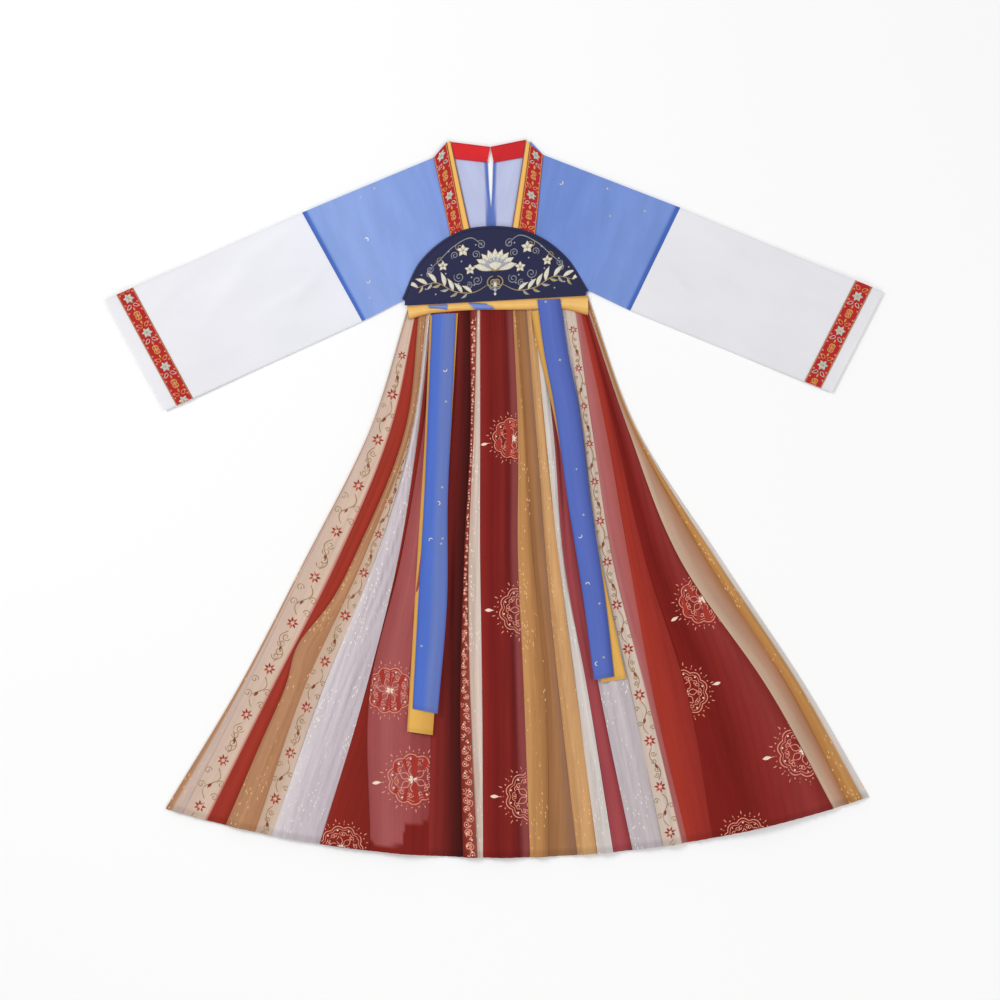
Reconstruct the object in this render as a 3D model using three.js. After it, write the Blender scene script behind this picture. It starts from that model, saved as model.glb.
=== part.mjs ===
// Child's ruqun-style hanfu, laid flat: a sheer short-sleeved bodice over long
// organza sleeves, a half-moon chest panel, two-colour waist ties and a skirt of
// narrow strips. Millimetres. +X across to the wearer's left sleeve as laid,
// +Y from the hem up to the neck, +Z up off the surface the garment lies on.
import * as THREE from 'three';

// ---- driving dimensions ----
const CLOTH = 1.0; // wall of every cloth piece
const GAP = 0.3; // clearance at seams and between layers
const LAYER = CLOTH + GAP; // one cloth and its clearance

const FRONT = LAYER; // underside of a front piece lying on a back piece
const ON_FRONT = FRONT + LAYER; // underside of trims lying on a front piece
const ON_TRIM = ON_FRONT + LAYER; // underside of what lies on those trims
const ON_BAND = ON_TRIM + LAYER; // underside of what lies on the waist band

const WAIST_Y = 276.6; // waist seam at the middle
const WAIST_SLOPE = 0.056; // the waist lies slightly turned
const HIP_Y = 96; // heights at which the skirt strips are given
const KNEE_Y = -86;
const CALF_Y = -268;
const HEM_CENTRE = { x: 6, y: 1129 }; // centre of the hem's arc
const HEM_RADIUS = 1631;

const BACK_BAND_WIDTH = 18; // waist band seen on the back
const BACK_STRIPS = 9;
const BIND_WIDTH = 4; // binding round the chest panel
const CUFF_RIBBON = 25; // woven ribbon at the cuff
const CUFF_EDGE = 17; // organza showing past that ribbon
const SLEEVE_INSIDE = 0.5; // air between the two layers of a sleeve
const SLEEVE_PUFF = 2.5; // extra height of the sleeve at its middle

const STRIP_ROWS = 10;
const TIE_ROWS = 12;

// ---- cloths ----
const cloth = (color, roughness = 0.8) =>
  new THREE.MeshStandardMaterial({ color, roughness, metalness: 0 });
const cloths = {
  blue: cloth('#7392d6'),
  organza: cloth('#ecebf6', 0.6),
  ribbon: cloth('#b2141a', 0.6),
  red: cloth('#d71f26'),
  navy: cloth('#1c1c46', 0.6),
  yellow: cloth('#e9b765', 0.6),
  tieBlue: cloth('#4c6cc4', 0.6),
  tan: cloth('#c08a55', 0.6),
  floral: cloth('#d8bca4'),
  beige: cloth('#b18672'),
  rust: cloth('#a8322a'),
  dark: cloth('#7a1b1b'),
  rose: cloth('#9a4a4e'),
  white: cloth('#cfc8d2', 0.6),
  mauve: cloth('#8a5e40', 0.6),
};

// ---- small tools ----
const waistY = (x) => WAIST_Y + WAIST_SLOPE * x;
const hemY = (x) => HEM_CENTRE.y - Math.sqrt(HEM_RADIUS ** 2 - (x - HEM_CENTRE.x) ** 2);
const mix = THREE.MathUtils.lerp;
const point = (x, y) => new THREE.Vector2(x, y);
const between = (a, b, t) => a.clone().lerp(b, t);

// A smooth line and a straight-sided line through hand-placed [x, y] rows.
function smoothLine(rows) {
  const curve = new THREE.SplineCurve(rows.map(([x, y]) => point(x, y)));
  return (t) => curve.getPoint(t);
}

function straightLine(rows) {
  const path = new THREE.CurvePath();
  for (let i = 1; i < rows.length; i += 1) {
    path.add(new THREE.LineCurve(point(...rows[i - 1]), point(...rows[i])));
  }
  return (t) => path.getPoint(t);
}

const group = new THREE.Group();

// Adds one closed mesh, its faces turned outward.
function addSolid(name, material, positions, triangles) {
  const [a, b, c] = [new THREE.Vector3(), new THREE.Vector3(), new THREE.Vector3()];
  let volume = 0;
  for (let i = 0; i < triangles.length; i += 3) {
    a.fromArray(positions, 3 * triangles[i]);
    b.fromArray(positions, 3 * triangles[i + 1]);
    c.fromArray(positions, 3 * triangles[i + 2]);
    volume += a.dot(b.cross(c));
  }
  const geometry = new THREE.BufferGeometry();
  geometry.setAttribute('position', new THREE.Float32BufferAttribute(positions, 3));
  geometry.setIndex(volume < 0 ? triangles.slice().reverse() : triangles);
  geometry.computeVertexNormals();
  const mesh = new THREE.Mesh(geometry, material);
  mesh.name = name;
  group.add(mesh);
}

// A cloth panel: placeAt(u, v) gives a point in plan, underAt its underside
// height, and the panel is that surface given the cloth's wall.
function addPanel(name, material, placeAt, underAt, columns, rows, wall = CLOTH) {
  const across = Array.isArray(columns)
    ? columns
    : Array.from({ length: columns + 1 }, (_, i) => i / columns);
  const width = across.length;
  const positions = [];
  for (const rise of [0, wall]) {
    for (let j = 0; j <= rows; j += 1) {
      for (const u of across) {
        const place = placeAt(u, j / rows);
        positions.push(place.x, place.y, underAt(place, u, j / rows) + rise);
      }
    }
  }
  const layer = width * (rows + 1);
  const triangles = [];
  const quad = (p, q, r, s) => triangles.push(p, q, r, p, r, s);
  for (let j = 0; j < rows; j += 1) {
    for (let i = 0; i < width - 1; i += 1) {
      const k = j * width + i;
      quad(k, k + width, k + width + 1, k + 1);
      quad(layer + k, layer + k + 1, layer + k + width + 1, layer + k + width);
    }
  }
  const rim = [];
  for (let i = 0; i < width - 1; i += 1) rim.push(i);
  for (let j = 0; j < rows; j += 1) rim.push(j * width + width - 1);
  for (let i = width - 1; i > 0; i -= 1) rim.push(rows * width + i);
  for (let j = rows; j > 0; j -= 1) rim.push(j * width);
  rim.forEach((k, n) => {
    const next = rim[(n + 1) % rim.length];
    quad(k, next, layer + next, layer + k);
  });
  addSolid(name, material, positions, triangles);
}

// A flattened tube with an open end each side. sectionAt(t) gives its two edges
// in plan, the height of its underside, and its height at the edges and middle.
function addFlatTube(name, material, sectionAt, stations, columns) {
  const positions = [];
  for (const inset of [0, CLOTH]) {
    for (let j = 0; j <= stations; j += 1) {
      const { a, b, under, height, crown } = sectionAt(j / stations);
      const along = b.clone().sub(a).normalize().multiplyScalar(inset);
      const [from, to] = [a.clone().add(along), b.clone().sub(along)];
      for (let i = 0; i <= columns; i += 1) {
        const place = between(from, to, i / columns);
        positions.push(place.x, place.y, under + inset);
      }
      for (let i = columns; i >= 0; i -= 1) {
        const place = between(from, to, i / columns);
        const rise = height + crown * Math.sin((Math.PI * i) / columns);
        positions.push(place.x, place.y, under + rise - inset);
      }
    }
  }
  const ring = 2 * (columns + 1);
  const shell = ring * (stations + 1);
  const triangles = [];
  const quad = (p, q, r, s) => triangles.push(p, q, r, p, r, s);
  for (let i = 0; i < ring; i += 1) {
    const next = (i + 1) % ring;
    for (let j = 0; j < stations; j += 1) {
      const row = j * ring;
      quad(row + i, row + next, row + ring + next, row + ring + i);
      quad(shell + row + i, shell + row + ring + i, shell + row + ring + next, shell + row + next);
    }
    const last = stations * ring;
    quad(i, shell + i, shell + next, next);
    quad(last + i, last + next, shell + last + next, shell + last + i);
  }
  addSolid(name, material, positions, triangles);
}

// ---- skirt ----
// Each row is one strip: its left edge at the waist, hip, knee, calf and hem,
// how far that edge is lifted off the back, the lift of the fold between its
// edges, and where across the strip that fold's crest lies.
const skirtColumns = ['name', 'cloth', 'waist', 'hip', 'knee', 'calf', 'hem', 'edge', 'crest', 'at'];
const skirtRows = [
  ['tan_1', 'tan', -120, -174, -265, -360, -460, 0, 2, 0.6],
  ['floral_1', 'floral', -117, -171, -260, -348, -437, 2, 3.5, 0.5],
  ['rust_1', 'rust', -108, -145, -219, -311, -402, 2.5, 1, 0.5],
  ['tan_2', 'tan', -105, -125, -198, -293, -376, 1.5, 5, 0.4],
  ['floral_2', 'floral', -94, -117, -184, -267, -335, 3, 5, 0.6],
  ['white_1', 'white', -91, -114, -167, -240, -311, 4, 7, 0.35],
  ['dark_1', 'dark', -87, -106, -135, -180, -244, 4, 5, 0.5],
  ['rose_1', 'rose', -83, -100, -131, -174, -174, 5, 9, 0.6],
  ['dark_2', 'dark', -59, -68, -76, -85, -93, 4, 0.5, 0.5],
  ['floral_3', 'rust', -34, -34, -43, -48, -44, 3, 7, 0.4],
  ['white_2', 'white', -24, -29, -36, -34, -24, 6, 4, 0.6],
  ['dark_3', 'dark', -20, -20, -20, -17, -16, 3, 9, 0.45],
  ['tan_3', 'tan', 25, 33, 33, 41, 50, 2, 6, 0.5],
  ['mauve_1', 'mauve', 30, 44, 55, 72, 76, 2.5, 0.5, 0.5],
  ['tan_4', 'tan', 44, 58, 72, 90, 116, 3, 7, 0.4],
  ['white_3', 'white', 54, 71, 90, 114, 144, 5.5, 7, 0.5],
  ['rose_2', 'rose', 60, 82, 97, 130, 166, 5, 1.5, 0.6],
  ['white_4', 'white', 67, 92, 116, 147, 193, 3, 7, 0.5],
  ['floral_4', 'floral', 96, 123, 148, 190, 236, 6, 8, 0.4],
  ['rose_3', 'rose', 111, 137, 166, 212, 263, 5, 2, 0.6],
  ['rust_2', 'rust', 116, 156, 188, 221, 270, 3, 5, 0.5],
  ['dark_4', 'dark', 120, 169, 211, 268, 306, 4, 8, 0.4],
  ['beige_1', 'beige', 124, 187, 260, 384, 474, 4, 2, 0.7],
  ['tan_5', 'tan', 127, 195, 296, 414, 495, 2.5, 3, 0.4],
  ['right_side', null, 131, 200, 317, 438, 524, 0, 0, 0.5],
].map((row) => Object.fromEntries(skirtColumns.map((column, i) => [column, row[i]])));

const WAIST_FOLD = 0.1; // share of a fold's lift that is left at the waist
const FOLDS_OPEN = 230; // distance below the waist where the folds are fully open

// A strip's edge runs smoothly from its top through the given heights to the hem.
function stripLine({ waist, hip, knee, calf, hem }, drop) {
  return smoothLine([
    [waist, waistY(waist) - drop],
    [hip, HIP_Y],
    [knee, KNEE_Y],
    [calf, CALF_Y],
    [hem, hemY(hem)],
  ]);
}

for (const row of skirtRows) row.line = stripLine(row, GAP);

const opening = (y) => mix(WAIST_FOLD, 1, THREE.MathUtils.smoothstep(WAIST_Y - y, 0, FOLDS_OPEN));

// Lift of the skirt's open folds across one strip: edge, crest, next edge.
function foldLift(row, next, u) {
  return u < row.at
    ? mix(row.edge, row.crest, THREE.MathUtils.smoothstep(u, 0, row.at))
    : mix(row.crest, next.edge, THREE.MathUtils.smoothstep(u, row.at, 1));
}

// The same lift found from a place across the skirt.
function foldLiftAt(x, v) {
  const i = Math.max(skirtRows.findLastIndex((row) => row.line(v).x <= x), 0);
  const [row, next] = [skirtRows[i], skirtRows[Math.min(i + 1, skirtRows.length - 1)]];
  const [left, right] = [row.line(v).x, next.line(v).x];
  return foldLift(row, next, THREE.MathUtils.clamp((x - left) / (right - left), 0, 1));
}

function addSkirtFront() {
  skirtRows.slice(0, -1).forEach((row, i) => {
    const next = skirtRows[i + 1];
    const placeAt = (u, v) => {
      const [left, right] = [row.line(v), next.line(v)];
      return between(point(left.x + GAP / 2, left.y), point(right.x - GAP / 2, right.y), u);
    };
    const underAt = (place, u) => FRONT + foldLift(row, next, u) * opening(place.y);
    const columns = [0, row.at / 2, row.at, (1 + row.at) / 2, 1];
    addPanel(`skirt_front_${row.name}`, cloths[row.cloth], placeAt, underAt, columns, STRIP_ROWS);
  });
}

function addSkirtBack() {
  const [first, last] = [skirtRows[0], skirtRows[skirtRows.length - 1]];
  const lines = Array.from({ length: BACK_STRIPS + 1 }, (_, i) => {
    const across = (level) => mix(first[level], last[level], i / BACK_STRIPS);
    const levels = ['waist', 'hip', 'knee', 'calf', 'hem'].map((level) => [level, across(level)]);
    return stripLine(Object.fromEntries(levels), BACK_BAND_WIDTH + 2 * GAP);
  });
  const order = ['tan', 'floral', 'rust', 'white', 'dark', 'white', 'rust', 'floral', 'tan'];
  order.forEach((name, i) => {
    const placeAt = (u, v) => {
      const place = between(lines[i](v), lines[i + 1](v), u);
      return place.add(point(GAP * (0.5 - u), 0));
    };
    addPanel(`skirt_back_${i + 1}_${name}`, cloths[name], placeAt, () => 0, 1, STRIP_ROWS);
  });
}

// ---- bodice, one half a side: shoulder, sleeve hem, underarm, waist ----
const halves = {
  l: {
    shoulder: [[-66, 499], [-85, 477], [-269, 400]],
    frontWaist: [[-15, waistY(-15)], [-122, waistY(-122)], [-127, 278], [-185, 248]],
    backWaist: [[-3, waistY(-3)], [-122, waistY(-122)], [-127, 278], [-185, 248]],
    slit: [[-8, 472], [-6, 408], [-4, waistY(-4)]],
    neckBack: [[-8, 472], [-56, 477], [-66, 496]],
    band: [[-6.2, 492], [-60.6, 499], [-10, 470], [-55, 475]],
    ribbonOuter: [[-85, 477], [-62, 368], [-47, 280]],
    ribbonInner: [[-67, 498], [-44, 377], [-26, 280]],
    pipingInner: [[-61, 500], [-34, 377], [-12, 280]],
    cuff: [[-544, 278], [-460, 123]],
  },
  r: {
    shoulder: [[50, 500], [68, 481], [260, 407]],
    frontWaist: [[11, waistY(11)], [128, waistY(128)], [132, 291], [190, 263]],
    backWaist: [[-2, waistY(-2)], [128, waistY(128)], [132, 291], [190, 263]],
    slit: [[-1, 472], [-4, 408], [-3.4, waistY(-3.4)]],
    neckBack: [[-1, 472], [41, 478], [50, 497]],
    band: [[-5.8, 492], [43.6, 502], [-1, 470], [40, 477]],
    ribbonOuter: [[68, 481], [57, 368], [46, 280]],
    ribbonInner: [[50, 495], [34, 377], [21, 280]],
    pipingInner: [[44, 502], [24, 377], [8, 280]],
    cuff: [[544, 289], [472, 148]],
  },
};

// A front half is ruled from its shoulder line to its waist and underarm line,
// so its first edge is the neckline and its last is the sleeve hem.
function addBodiceFront(side, half) {
  const [top, bottom] = [straightLine(half.shoulder), straightLine(half.frontWaist)];
  const placeAt = (u, v) => between(top(u), bottom(u), v);
  addPanel(`bodice_front_${side}`, cloths.blue, placeAt, () => FRONT, 10, 5);
}

// A back half runs from the centre-back opening to the sleeve hem.
function addBodiceBack(side, half) {
  const top = straightLine([...half.neckBack, ...half.shoulder.slice(1)]);
  const bottom = straightLine(half.backWaist);
  const centre = straightLine(half.slit);
  const placeAt = (u, v) => {
    const place = between(top(u), bottom(u), v);
    const drift = centre(v).x - between(top(0), bottom(0), v).x;
    return point(place.x + drift * (1 - u), place.y);
  };
  addPanel(`bodice_back_${side}`, cloths.blue, placeAt, () => 0, 10, 6);
}

function addCollar(side, half) {
  const shift = side === 'l' ? GAP : -GAP;
  const [outer, inner] = [smoothLine(half.ribbonOuter), smoothLine(half.ribbonInner)];
  const edge = smoothLine(half.pipingInner);
  const ribbonAt = (u, v) => between(outer(v), inner(v), u);
  const pipingAt = (u, v) => between(inner(v).add(point(shift, 0)), edge(v), u);
  addPanel(`collar_ribbon_${side}`, cloths.ribbon, ribbonAt, () => ON_FRONT, 1, 6);
  addPanel(`collar_piping_${side}`, cloths.yellow, pipingAt, () => ON_FRONT, 1, 6);
}

// The back neck band, plain inside; its corners are centre top, side top,
// centre bottom and side bottom.
function addNeckBand(side, half) {
  const [topIn, topOut, lowIn, lowOut] = half.band.map((row) => point(...row));
  const placeAt = (u, v) => between(between(topIn, topOut, u), between(lowIn, lowOut, u), v);
  addPanel(`neck_band_${side}`, cloths.red, placeAt, () => FRONT, 2, 1);
}

// ---- organza sleeve and its ribbon ----
function sleeveEdges(half) {
  const [shoulderEnd, underEnd] = [half.shoulder[2], half.frontWaist[3]].map((row) => point(...row));
  const [cuffTop, cuffLow] = half.cuff.map((row) => point(...row));
  const length = shoulderEnd.distanceTo(cuffTop);
  const start = (2 * GAP) / length;
  const at = (t) => [between(shoulderEnd, cuffTop, t), between(underEnd, cuffLow, t)];
  return { length, start, at };
}

function addSleeve(side, half) {
  const { length, start, at } = sleeveEdges(half);
  const sleeveHeight = 2 * CLOTH + SLEEVE_INSIDE;
  const ribbonFrom = 1 - (CUFF_EDGE + CUFF_RIBBON) / length;
  const sectionAt = (t) => {
    const [a, b] = at(mix(start, 1, t));
    const lifted = THREE.MathUtils.smoothstep(t, 0.5, ribbonFrom - 0.02);
    const crown = SLEEVE_PUFF * Math.sin(Math.PI * Math.min(t / (ribbonFrom - 0.02), 1)) ** 2;
    return { a, b, under: LAYER * lifted, height: sleeveHeight, crown };
  };
  addFlatTube(`sleeve_${side}`, cloths.organza, sectionAt, 12, 5);
  // The ribbon goes round the sleeve: one length on its front, one on its back.
  const ribbonTo = 1 - CUFF_EDGE / length;
  const ribbonAt = (u, v) => between(...at(mix(ribbonFrom, ribbonTo, v)), u);
  const onSleeve = LAYER + sleeveHeight + GAP;
  addPanel(`cuff_ribbon_front_${side}`, cloths.ribbon, ribbonAt, () => onSleeve, 5, 1);
  addPanel(`cuff_ribbon_back_${side}`, cloths.ribbon, ribbonAt, () => 0, 5, 1);
}

// ---- chest panel ----
const bibArc = smoothLine([
  [-129, 279], [-104, 331], [-76, 358], [-48, 374], [-6, 381],
  [36, 377], [71, 362], [102, 336], [131, 291],
]);

function bibInset(u) {
  const [before, after] = [bibArc(Math.max(u - 0.01, 0)), bibArc(Math.min(u + 0.01, 1))];
  const inward = after.sub(before).normalize();
  return bibArc(u).add(point(inward.y, -inward.x).multiplyScalar(BIND_WIDTH));
}

function addBib() {
  const left = bibInset(0).x;
  const right = bibInset(1).x;
  const low = (u) => {
    const x = mix(left, right, (1 - Math.cos(Math.PI * u)) / 2);
    return point(x, waistY(x) + GAP);
  };
  const panelAt = (u, v) => between(low(u), bibInset(u), v * (1 - GAP / BIND_WIDTH / 6));
  const bindingAt = (u, v) => between(bibInset(u), bibArc(u), mix(GAP / BIND_WIDTH, 1, v));
  addPanel('chest_panel', cloths.navy, panelAt, () => ON_TRIM, 14, 4);
  addPanel('chest_panel_binding', cloths.navy, bindingAt, () => ON_TRIM, 14, 1, CLOTH + GAP);
}

// ---- waist band and ties ----
const bandLow = smoothLine([[-119, 250], [-97, 257], [-60, 261.5], [54, 264], [95, 265], [131, 256]]);

function addWaistBand() {
  const placeAt = (u, v) => {
    const low = bandLow(u);
    const top = point(mix(-122, 131, (low.x + 119) / 250), waistY(low.x) - GAP);
    return between(top, low, v);
  };
  addPanel('waist_band_front', cloths.yellow, placeAt, () => ON_TRIM, 12, 1);
  const backAt = (u, v) => {
    const x = mix(-121, 130, u);
    return point(x, waistY(x) - GAP - BACK_BAND_WIDTH * v);
  };
  addPanel('waist_band_back', cloths.yellow, backAt, () => 0, 4, 1);
}

// Two slivers of the blue tie that wind over the yellow band: corners in order.
const twists = {
  waist_twist_1: [[-93, 270], [-66, 271.5], [-92, 267], [-66, 264]],
  waist_twist_2: [[-37, 274], [-12, 272.5], [-27, 264], [1, 265]],
};

function addTwists() {
  for (const [name, corners] of Object.entries(twists)) {
    const [a, b, c, d] = corners.map((row) => point(...row));
    const placeAt = (u, v) => between(between(a, b, u), between(c, d, u), v);
    addPanel(name, cloths.tieBlue, placeAt, () => ON_BAND, 2, 1);
  }
}

// Each tie's left and right edges from its top to its cut end, and how many
// cloths lie between it and the skirt.
const ties = {
  tie_left_yellow: {
    cloth: 'yellow', under: 0,
    left: [[-90, 256], [-98, 68], [-107, -72], [-115, -212], [-122, -325]],
    right: [[-51, 259], [-62, 68], [-70, -72], [-78, -212], [-86, -330]],
  },
  tie_left_blue: {
    cloth: 'tieBlue', under: 1,
    left: [[-87, 257], [-92, 138], [-98, -2], [-106, -142], [-114, -293]],
    right: [[-54, 259], [-59, 138], [-65, -2], [-66, -142], [-79, -300]],
  },
  tie_right_yellow: {
    cloth: 'yellow', under: 0,
    left: [[51, 262], [61, 208], [78, 138], [115, -72], [132, -180], [148, -257]],
    right: [[90, 263], [99, 208], [113, 138], [145, -72], [168, -180], [184, -251]],
  },
  tie_right_blue: {
    cloth: 'tieBlue', under: 1,
    left: [[60, 278], [69, 208], [82, 138], [102, -2], [124, -142], [139, -253]],
    right: [[92, 279], [102, 208], [116, 138], [134, -2], [155, -142], [167, -248]],
  },
};

const SKIRT_LENGTH = WAIST_Y - hemY(0);
const downSkirt = (y) => THREE.MathUtils.clamp((WAIST_Y - y) / SKIRT_LENGTH, 0, 1);

// A tie lies across the crests of the folds under it.
function addTies() {
  for (const [name, tie] of Object.entries(ties)) {
    const [left, right] = [smoothLine(tie.left), smoothLine(tie.right)];
    const placeAt = (u, v) => between(left(v), right(v), u);
    let crest = 0;
    for (let k = 0; k <= 60; k += 1) {
      for (let i = -2; i <= 12; i += 1) {
        const place = placeAt(i / 10, k / 60);
        crest = Math.max(crest, foldLiftAt(place.x, downSkirt(place.y)));
      }
    }
    const clear = 2 * GAP;
    const underAt = (place) => {
      const skirtTop = FRONT + crest * opening(place.y) + CLOTH;
      return skirtTop + clear + tie.under * (CLOTH + clear);
    };
    addPanel(name, cloths[tie.cloth], placeAt, underAt, 1, TIE_ROWS);
  }
}

addSkirtBack();
addSkirtFront();
for (const [side, half] of Object.entries(halves)) {
  addBodiceBack(side, half);
  addBodiceFront(side, half);
  addNeckBand(side, half);
  addCollar(side, half);
  addSleeve(side, half);
}
addBib();
addWaistBand();
addTwists();
addTies();

export default group;
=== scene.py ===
import math

import bpy
import numpy as np
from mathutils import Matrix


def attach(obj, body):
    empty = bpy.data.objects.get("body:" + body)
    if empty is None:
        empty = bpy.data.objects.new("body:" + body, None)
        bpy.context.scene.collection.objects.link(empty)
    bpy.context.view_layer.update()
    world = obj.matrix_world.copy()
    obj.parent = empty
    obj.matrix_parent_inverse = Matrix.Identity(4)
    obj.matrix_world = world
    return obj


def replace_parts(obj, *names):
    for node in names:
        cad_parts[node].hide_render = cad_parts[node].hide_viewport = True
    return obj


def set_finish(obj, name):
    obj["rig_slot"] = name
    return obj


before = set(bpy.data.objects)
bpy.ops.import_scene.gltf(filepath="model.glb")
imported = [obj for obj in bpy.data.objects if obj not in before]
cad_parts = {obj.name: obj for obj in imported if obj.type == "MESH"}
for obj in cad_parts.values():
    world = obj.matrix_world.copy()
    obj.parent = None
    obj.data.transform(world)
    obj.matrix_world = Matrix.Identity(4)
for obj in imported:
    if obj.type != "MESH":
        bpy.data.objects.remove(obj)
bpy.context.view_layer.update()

# A child's hanfu laid flat. Sizes below are in millimetres, in the frame of the
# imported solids: +X across, +Y from the hem to the neck, +Z up off the surface.
MM = 0.001

# ---- sizes of the solids that the looks are built on ----
CLOTH = 1.0  # wall of every solid
GAP = 0.3
LAYER = CLOTH + GAP
FRONT = LAYER  # underside of a front piece
ON_FRONT = FRONT + LAYER  # underside of trims on the front
ON_TRIM = ON_FRONT + LAYER  # underside of what lies on those trims
ON_BAND = ON_TRIM + LAYER  # underside of what lies on the waist band
WALL = 0.7  # the cloth itself, within its solid's wall

WAIST_Y = 276.6
WAIST_SLOPE = 0.056
HIP_Y, KNEE_Y, CALF_Y = 96, -86, -268
HEM_X, HEM_Y, HEM_RADIUS = 6, 1129, 1631  # centre and radius of the hem's arc
HEM_TURN = 8  # depth of the turned hem
WAIST_FOLD = 0.1  # share of a fold's lift left at the waist
FOLDS_OPEN = 230  # distance below the waist where the folds are open
BACK_BAND = 18
CUFF_RIBBON, CUFF_EDGE = 25, 17

SLIM_GORE = 0.32  # least share of its width times length that a cut fills
FLOOR_DROP = 0.4  # the surface is this far under the lowest cloth


# ---- small tools ----
def linear(code):
    """sRGB hex to linear colour."""
    parts = [int(code[i:i + 2], 16) / 255 for i in (1, 3, 5)]
    return [p / 12.92 if p <= 0.04045 else ((p + 0.055) / 1.055) ** 2.4 for p in parts] + [1.0]


def shades(stops, across):
    """Colour across a piece from (place, hex) stops, place running 0 to 1."""
    places = [s[0] for s in stops]
    colours = np.array([linear(s[1]) for s in stops])
    return np.stack([np.interp(across, places, colours[:, k]) for k in range(4)], -1)


def smooth(t, low, high):
    """0 below low and 1 above high, with a soft step between."""
    t = np.clip((t - low) / (high - low), 0, 1)
    return t * t * (3 - 2 * t)


def mix(a, b, t):
    return a + (b - a) * t


def waist_y(x):
    """Height of the waist seam, which leans a little."""
    return WAIST_Y + WAIST_SLOPE * x


def hem_y(x):
    """Height of the hem's arc."""
    return HEM_Y - np.sqrt(HEM_RADIUS ** 2 - (x - HEM_X) ** 2)


def curve_through(at, values):
    """A smooth function through given values."""
    order = np.argsort(at)
    at, values = np.array(at, float)[order], np.array(values, float)[order]
    slope = np.gradient(values, at)

    def read(t):
        t = np.clip(t, at[0], at[-1])
        i = np.clip(np.searchsorted(at, t) - 1, 0, len(at) - 2)
        h = at[i + 1] - at[i]
        s = (t - at[i]) / h
        start = (2 * s ** 3 - 3 * s ** 2 + 1) * values[i] + (s ** 3 - 2 * s ** 2 + s) * h * slope[i]
        end = (3 * s ** 2 - 2 * s ** 3) * values[i + 1] + (s ** 3 - s ** 2) * h * slope[i + 1]
        return start + end

    return read


def line_through(rows, straight=False):
    """A line through [x, y] rows, read at 0 to 1 along its length."""
    rows = np.array(rows, float)
    steps = np.hypot(*np.diff(rows, axis=0).T)
    at = np.concatenate([[0], np.cumsum(steps)]) / steps.sum()
    if straight or len(rows) < 3:
        return lambda t: np.stack([np.interp(t, at, rows[:, k]) for k in (0, 1)], -1)
    curves = [curve_through(at, rows[:, k]) for k in (0, 1)]
    return lambda t: np.stack([c(t) for c in curves], -1)


def ripples(x, y, seed, length, count=6):
    """Soft uneven ripples of about one size, in every direction, from -1 to 1."""
    random = np.random.RandomState(seed)
    total = np.zeros(np.broadcast(x, y).shape)
    for _ in range(count):
        angle, phase = random.uniform(0, math.pi), random.uniform(0, 2 * math.pi)
        pitch = length * random.uniform(0.7, 1.5)
        total += np.sin((x * math.cos(angle) + y * math.sin(angle)) * 2 * math.pi / pitch + phase)
    return total / count


def crease(x, y, start, end, width, height):
    """One soft ridge, or a trough when height is negative, that fades at its ends."""
    start, end = np.array(start, float), np.array(end, float)
    run = end - start
    length = np.hypot(*run)
    along = ((x - start[0]) * run[0] + (y - start[1]) * run[1]) / length ** 2
    off = ((x - start[0]) * run[1] - (y - start[1]) * run[0]) / length
    bow = off + 0.06 * length * np.sin(math.pi * np.clip(along, 0, 1))
    fade = smooth(along, -0.05, 0.3) * smooth(-along, -1.05, -0.6)
    return height * np.exp(-(bow / width) ** 2) * fade


def creases(x, y, rows):
    """All the creases of a table, added up."""
    total = np.zeros(np.broadcast(x, y).shape)
    for start, end, width, height in rows:
        total = total + crease(x, y, start, end, width, height)
    return total


# ---- meshes ----
def add_mesh(name, points, faces, materials, face_material=None, colour=None, thread=None):
    """Makes an object from points in millimetres. thread is the place of each
    point along and across the cloth's yarns, in metres, kept as a UV map."""
    mesh = bpy.data.meshes.new(name)
    mesh.from_pydata((np.asarray(points) * MM).tolist(), [], faces)
    for material in materials:
        mesh.materials.append(material)
    if face_material is not None:
        mesh.polygons.foreach_set("material_index", np.asarray(face_material, np.int32))
    if colour is not None:
        layer = mesh.color_attributes.new("cloth_colour", "FLOAT_COLOR", "POINT")
        layer.data.foreach_set("color", np.asarray(colour, np.float32).ravel())
    if thread is not None:
        corners = np.zeros(len(mesh.loops), np.int32)
        mesh.loops.foreach_get("vertex_index", corners)
        layer = mesh.uv_layers.new(name="thread")
        layer.data.foreach_set("uv", np.asarray(thread, np.float32)[corners].ravel())
    mesh.shade_smooth()
    mesh.set_sharp_from_angle(angle=math.radians(50))
    piece = bpy.data.objects.new(name, mesh)
    bpy.context.scene.collection.objects.link(piece)
    return piece


def grid_size(top):
    """Width, length and area of a cloth surface, in metres."""
    across = np.linalg.norm(np.diff(top, axis=1), axis=2)
    down = np.linalg.norm(np.diff(top, axis=0), axis=2)
    area = ((across[1:] + across[:-1]) / 2 * (down[:, 1:] + down[:, :-1]) / 2).sum()
    return across.sum(1).max() * MM, down.sum(0).max() * MM, area * MM * MM


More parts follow.
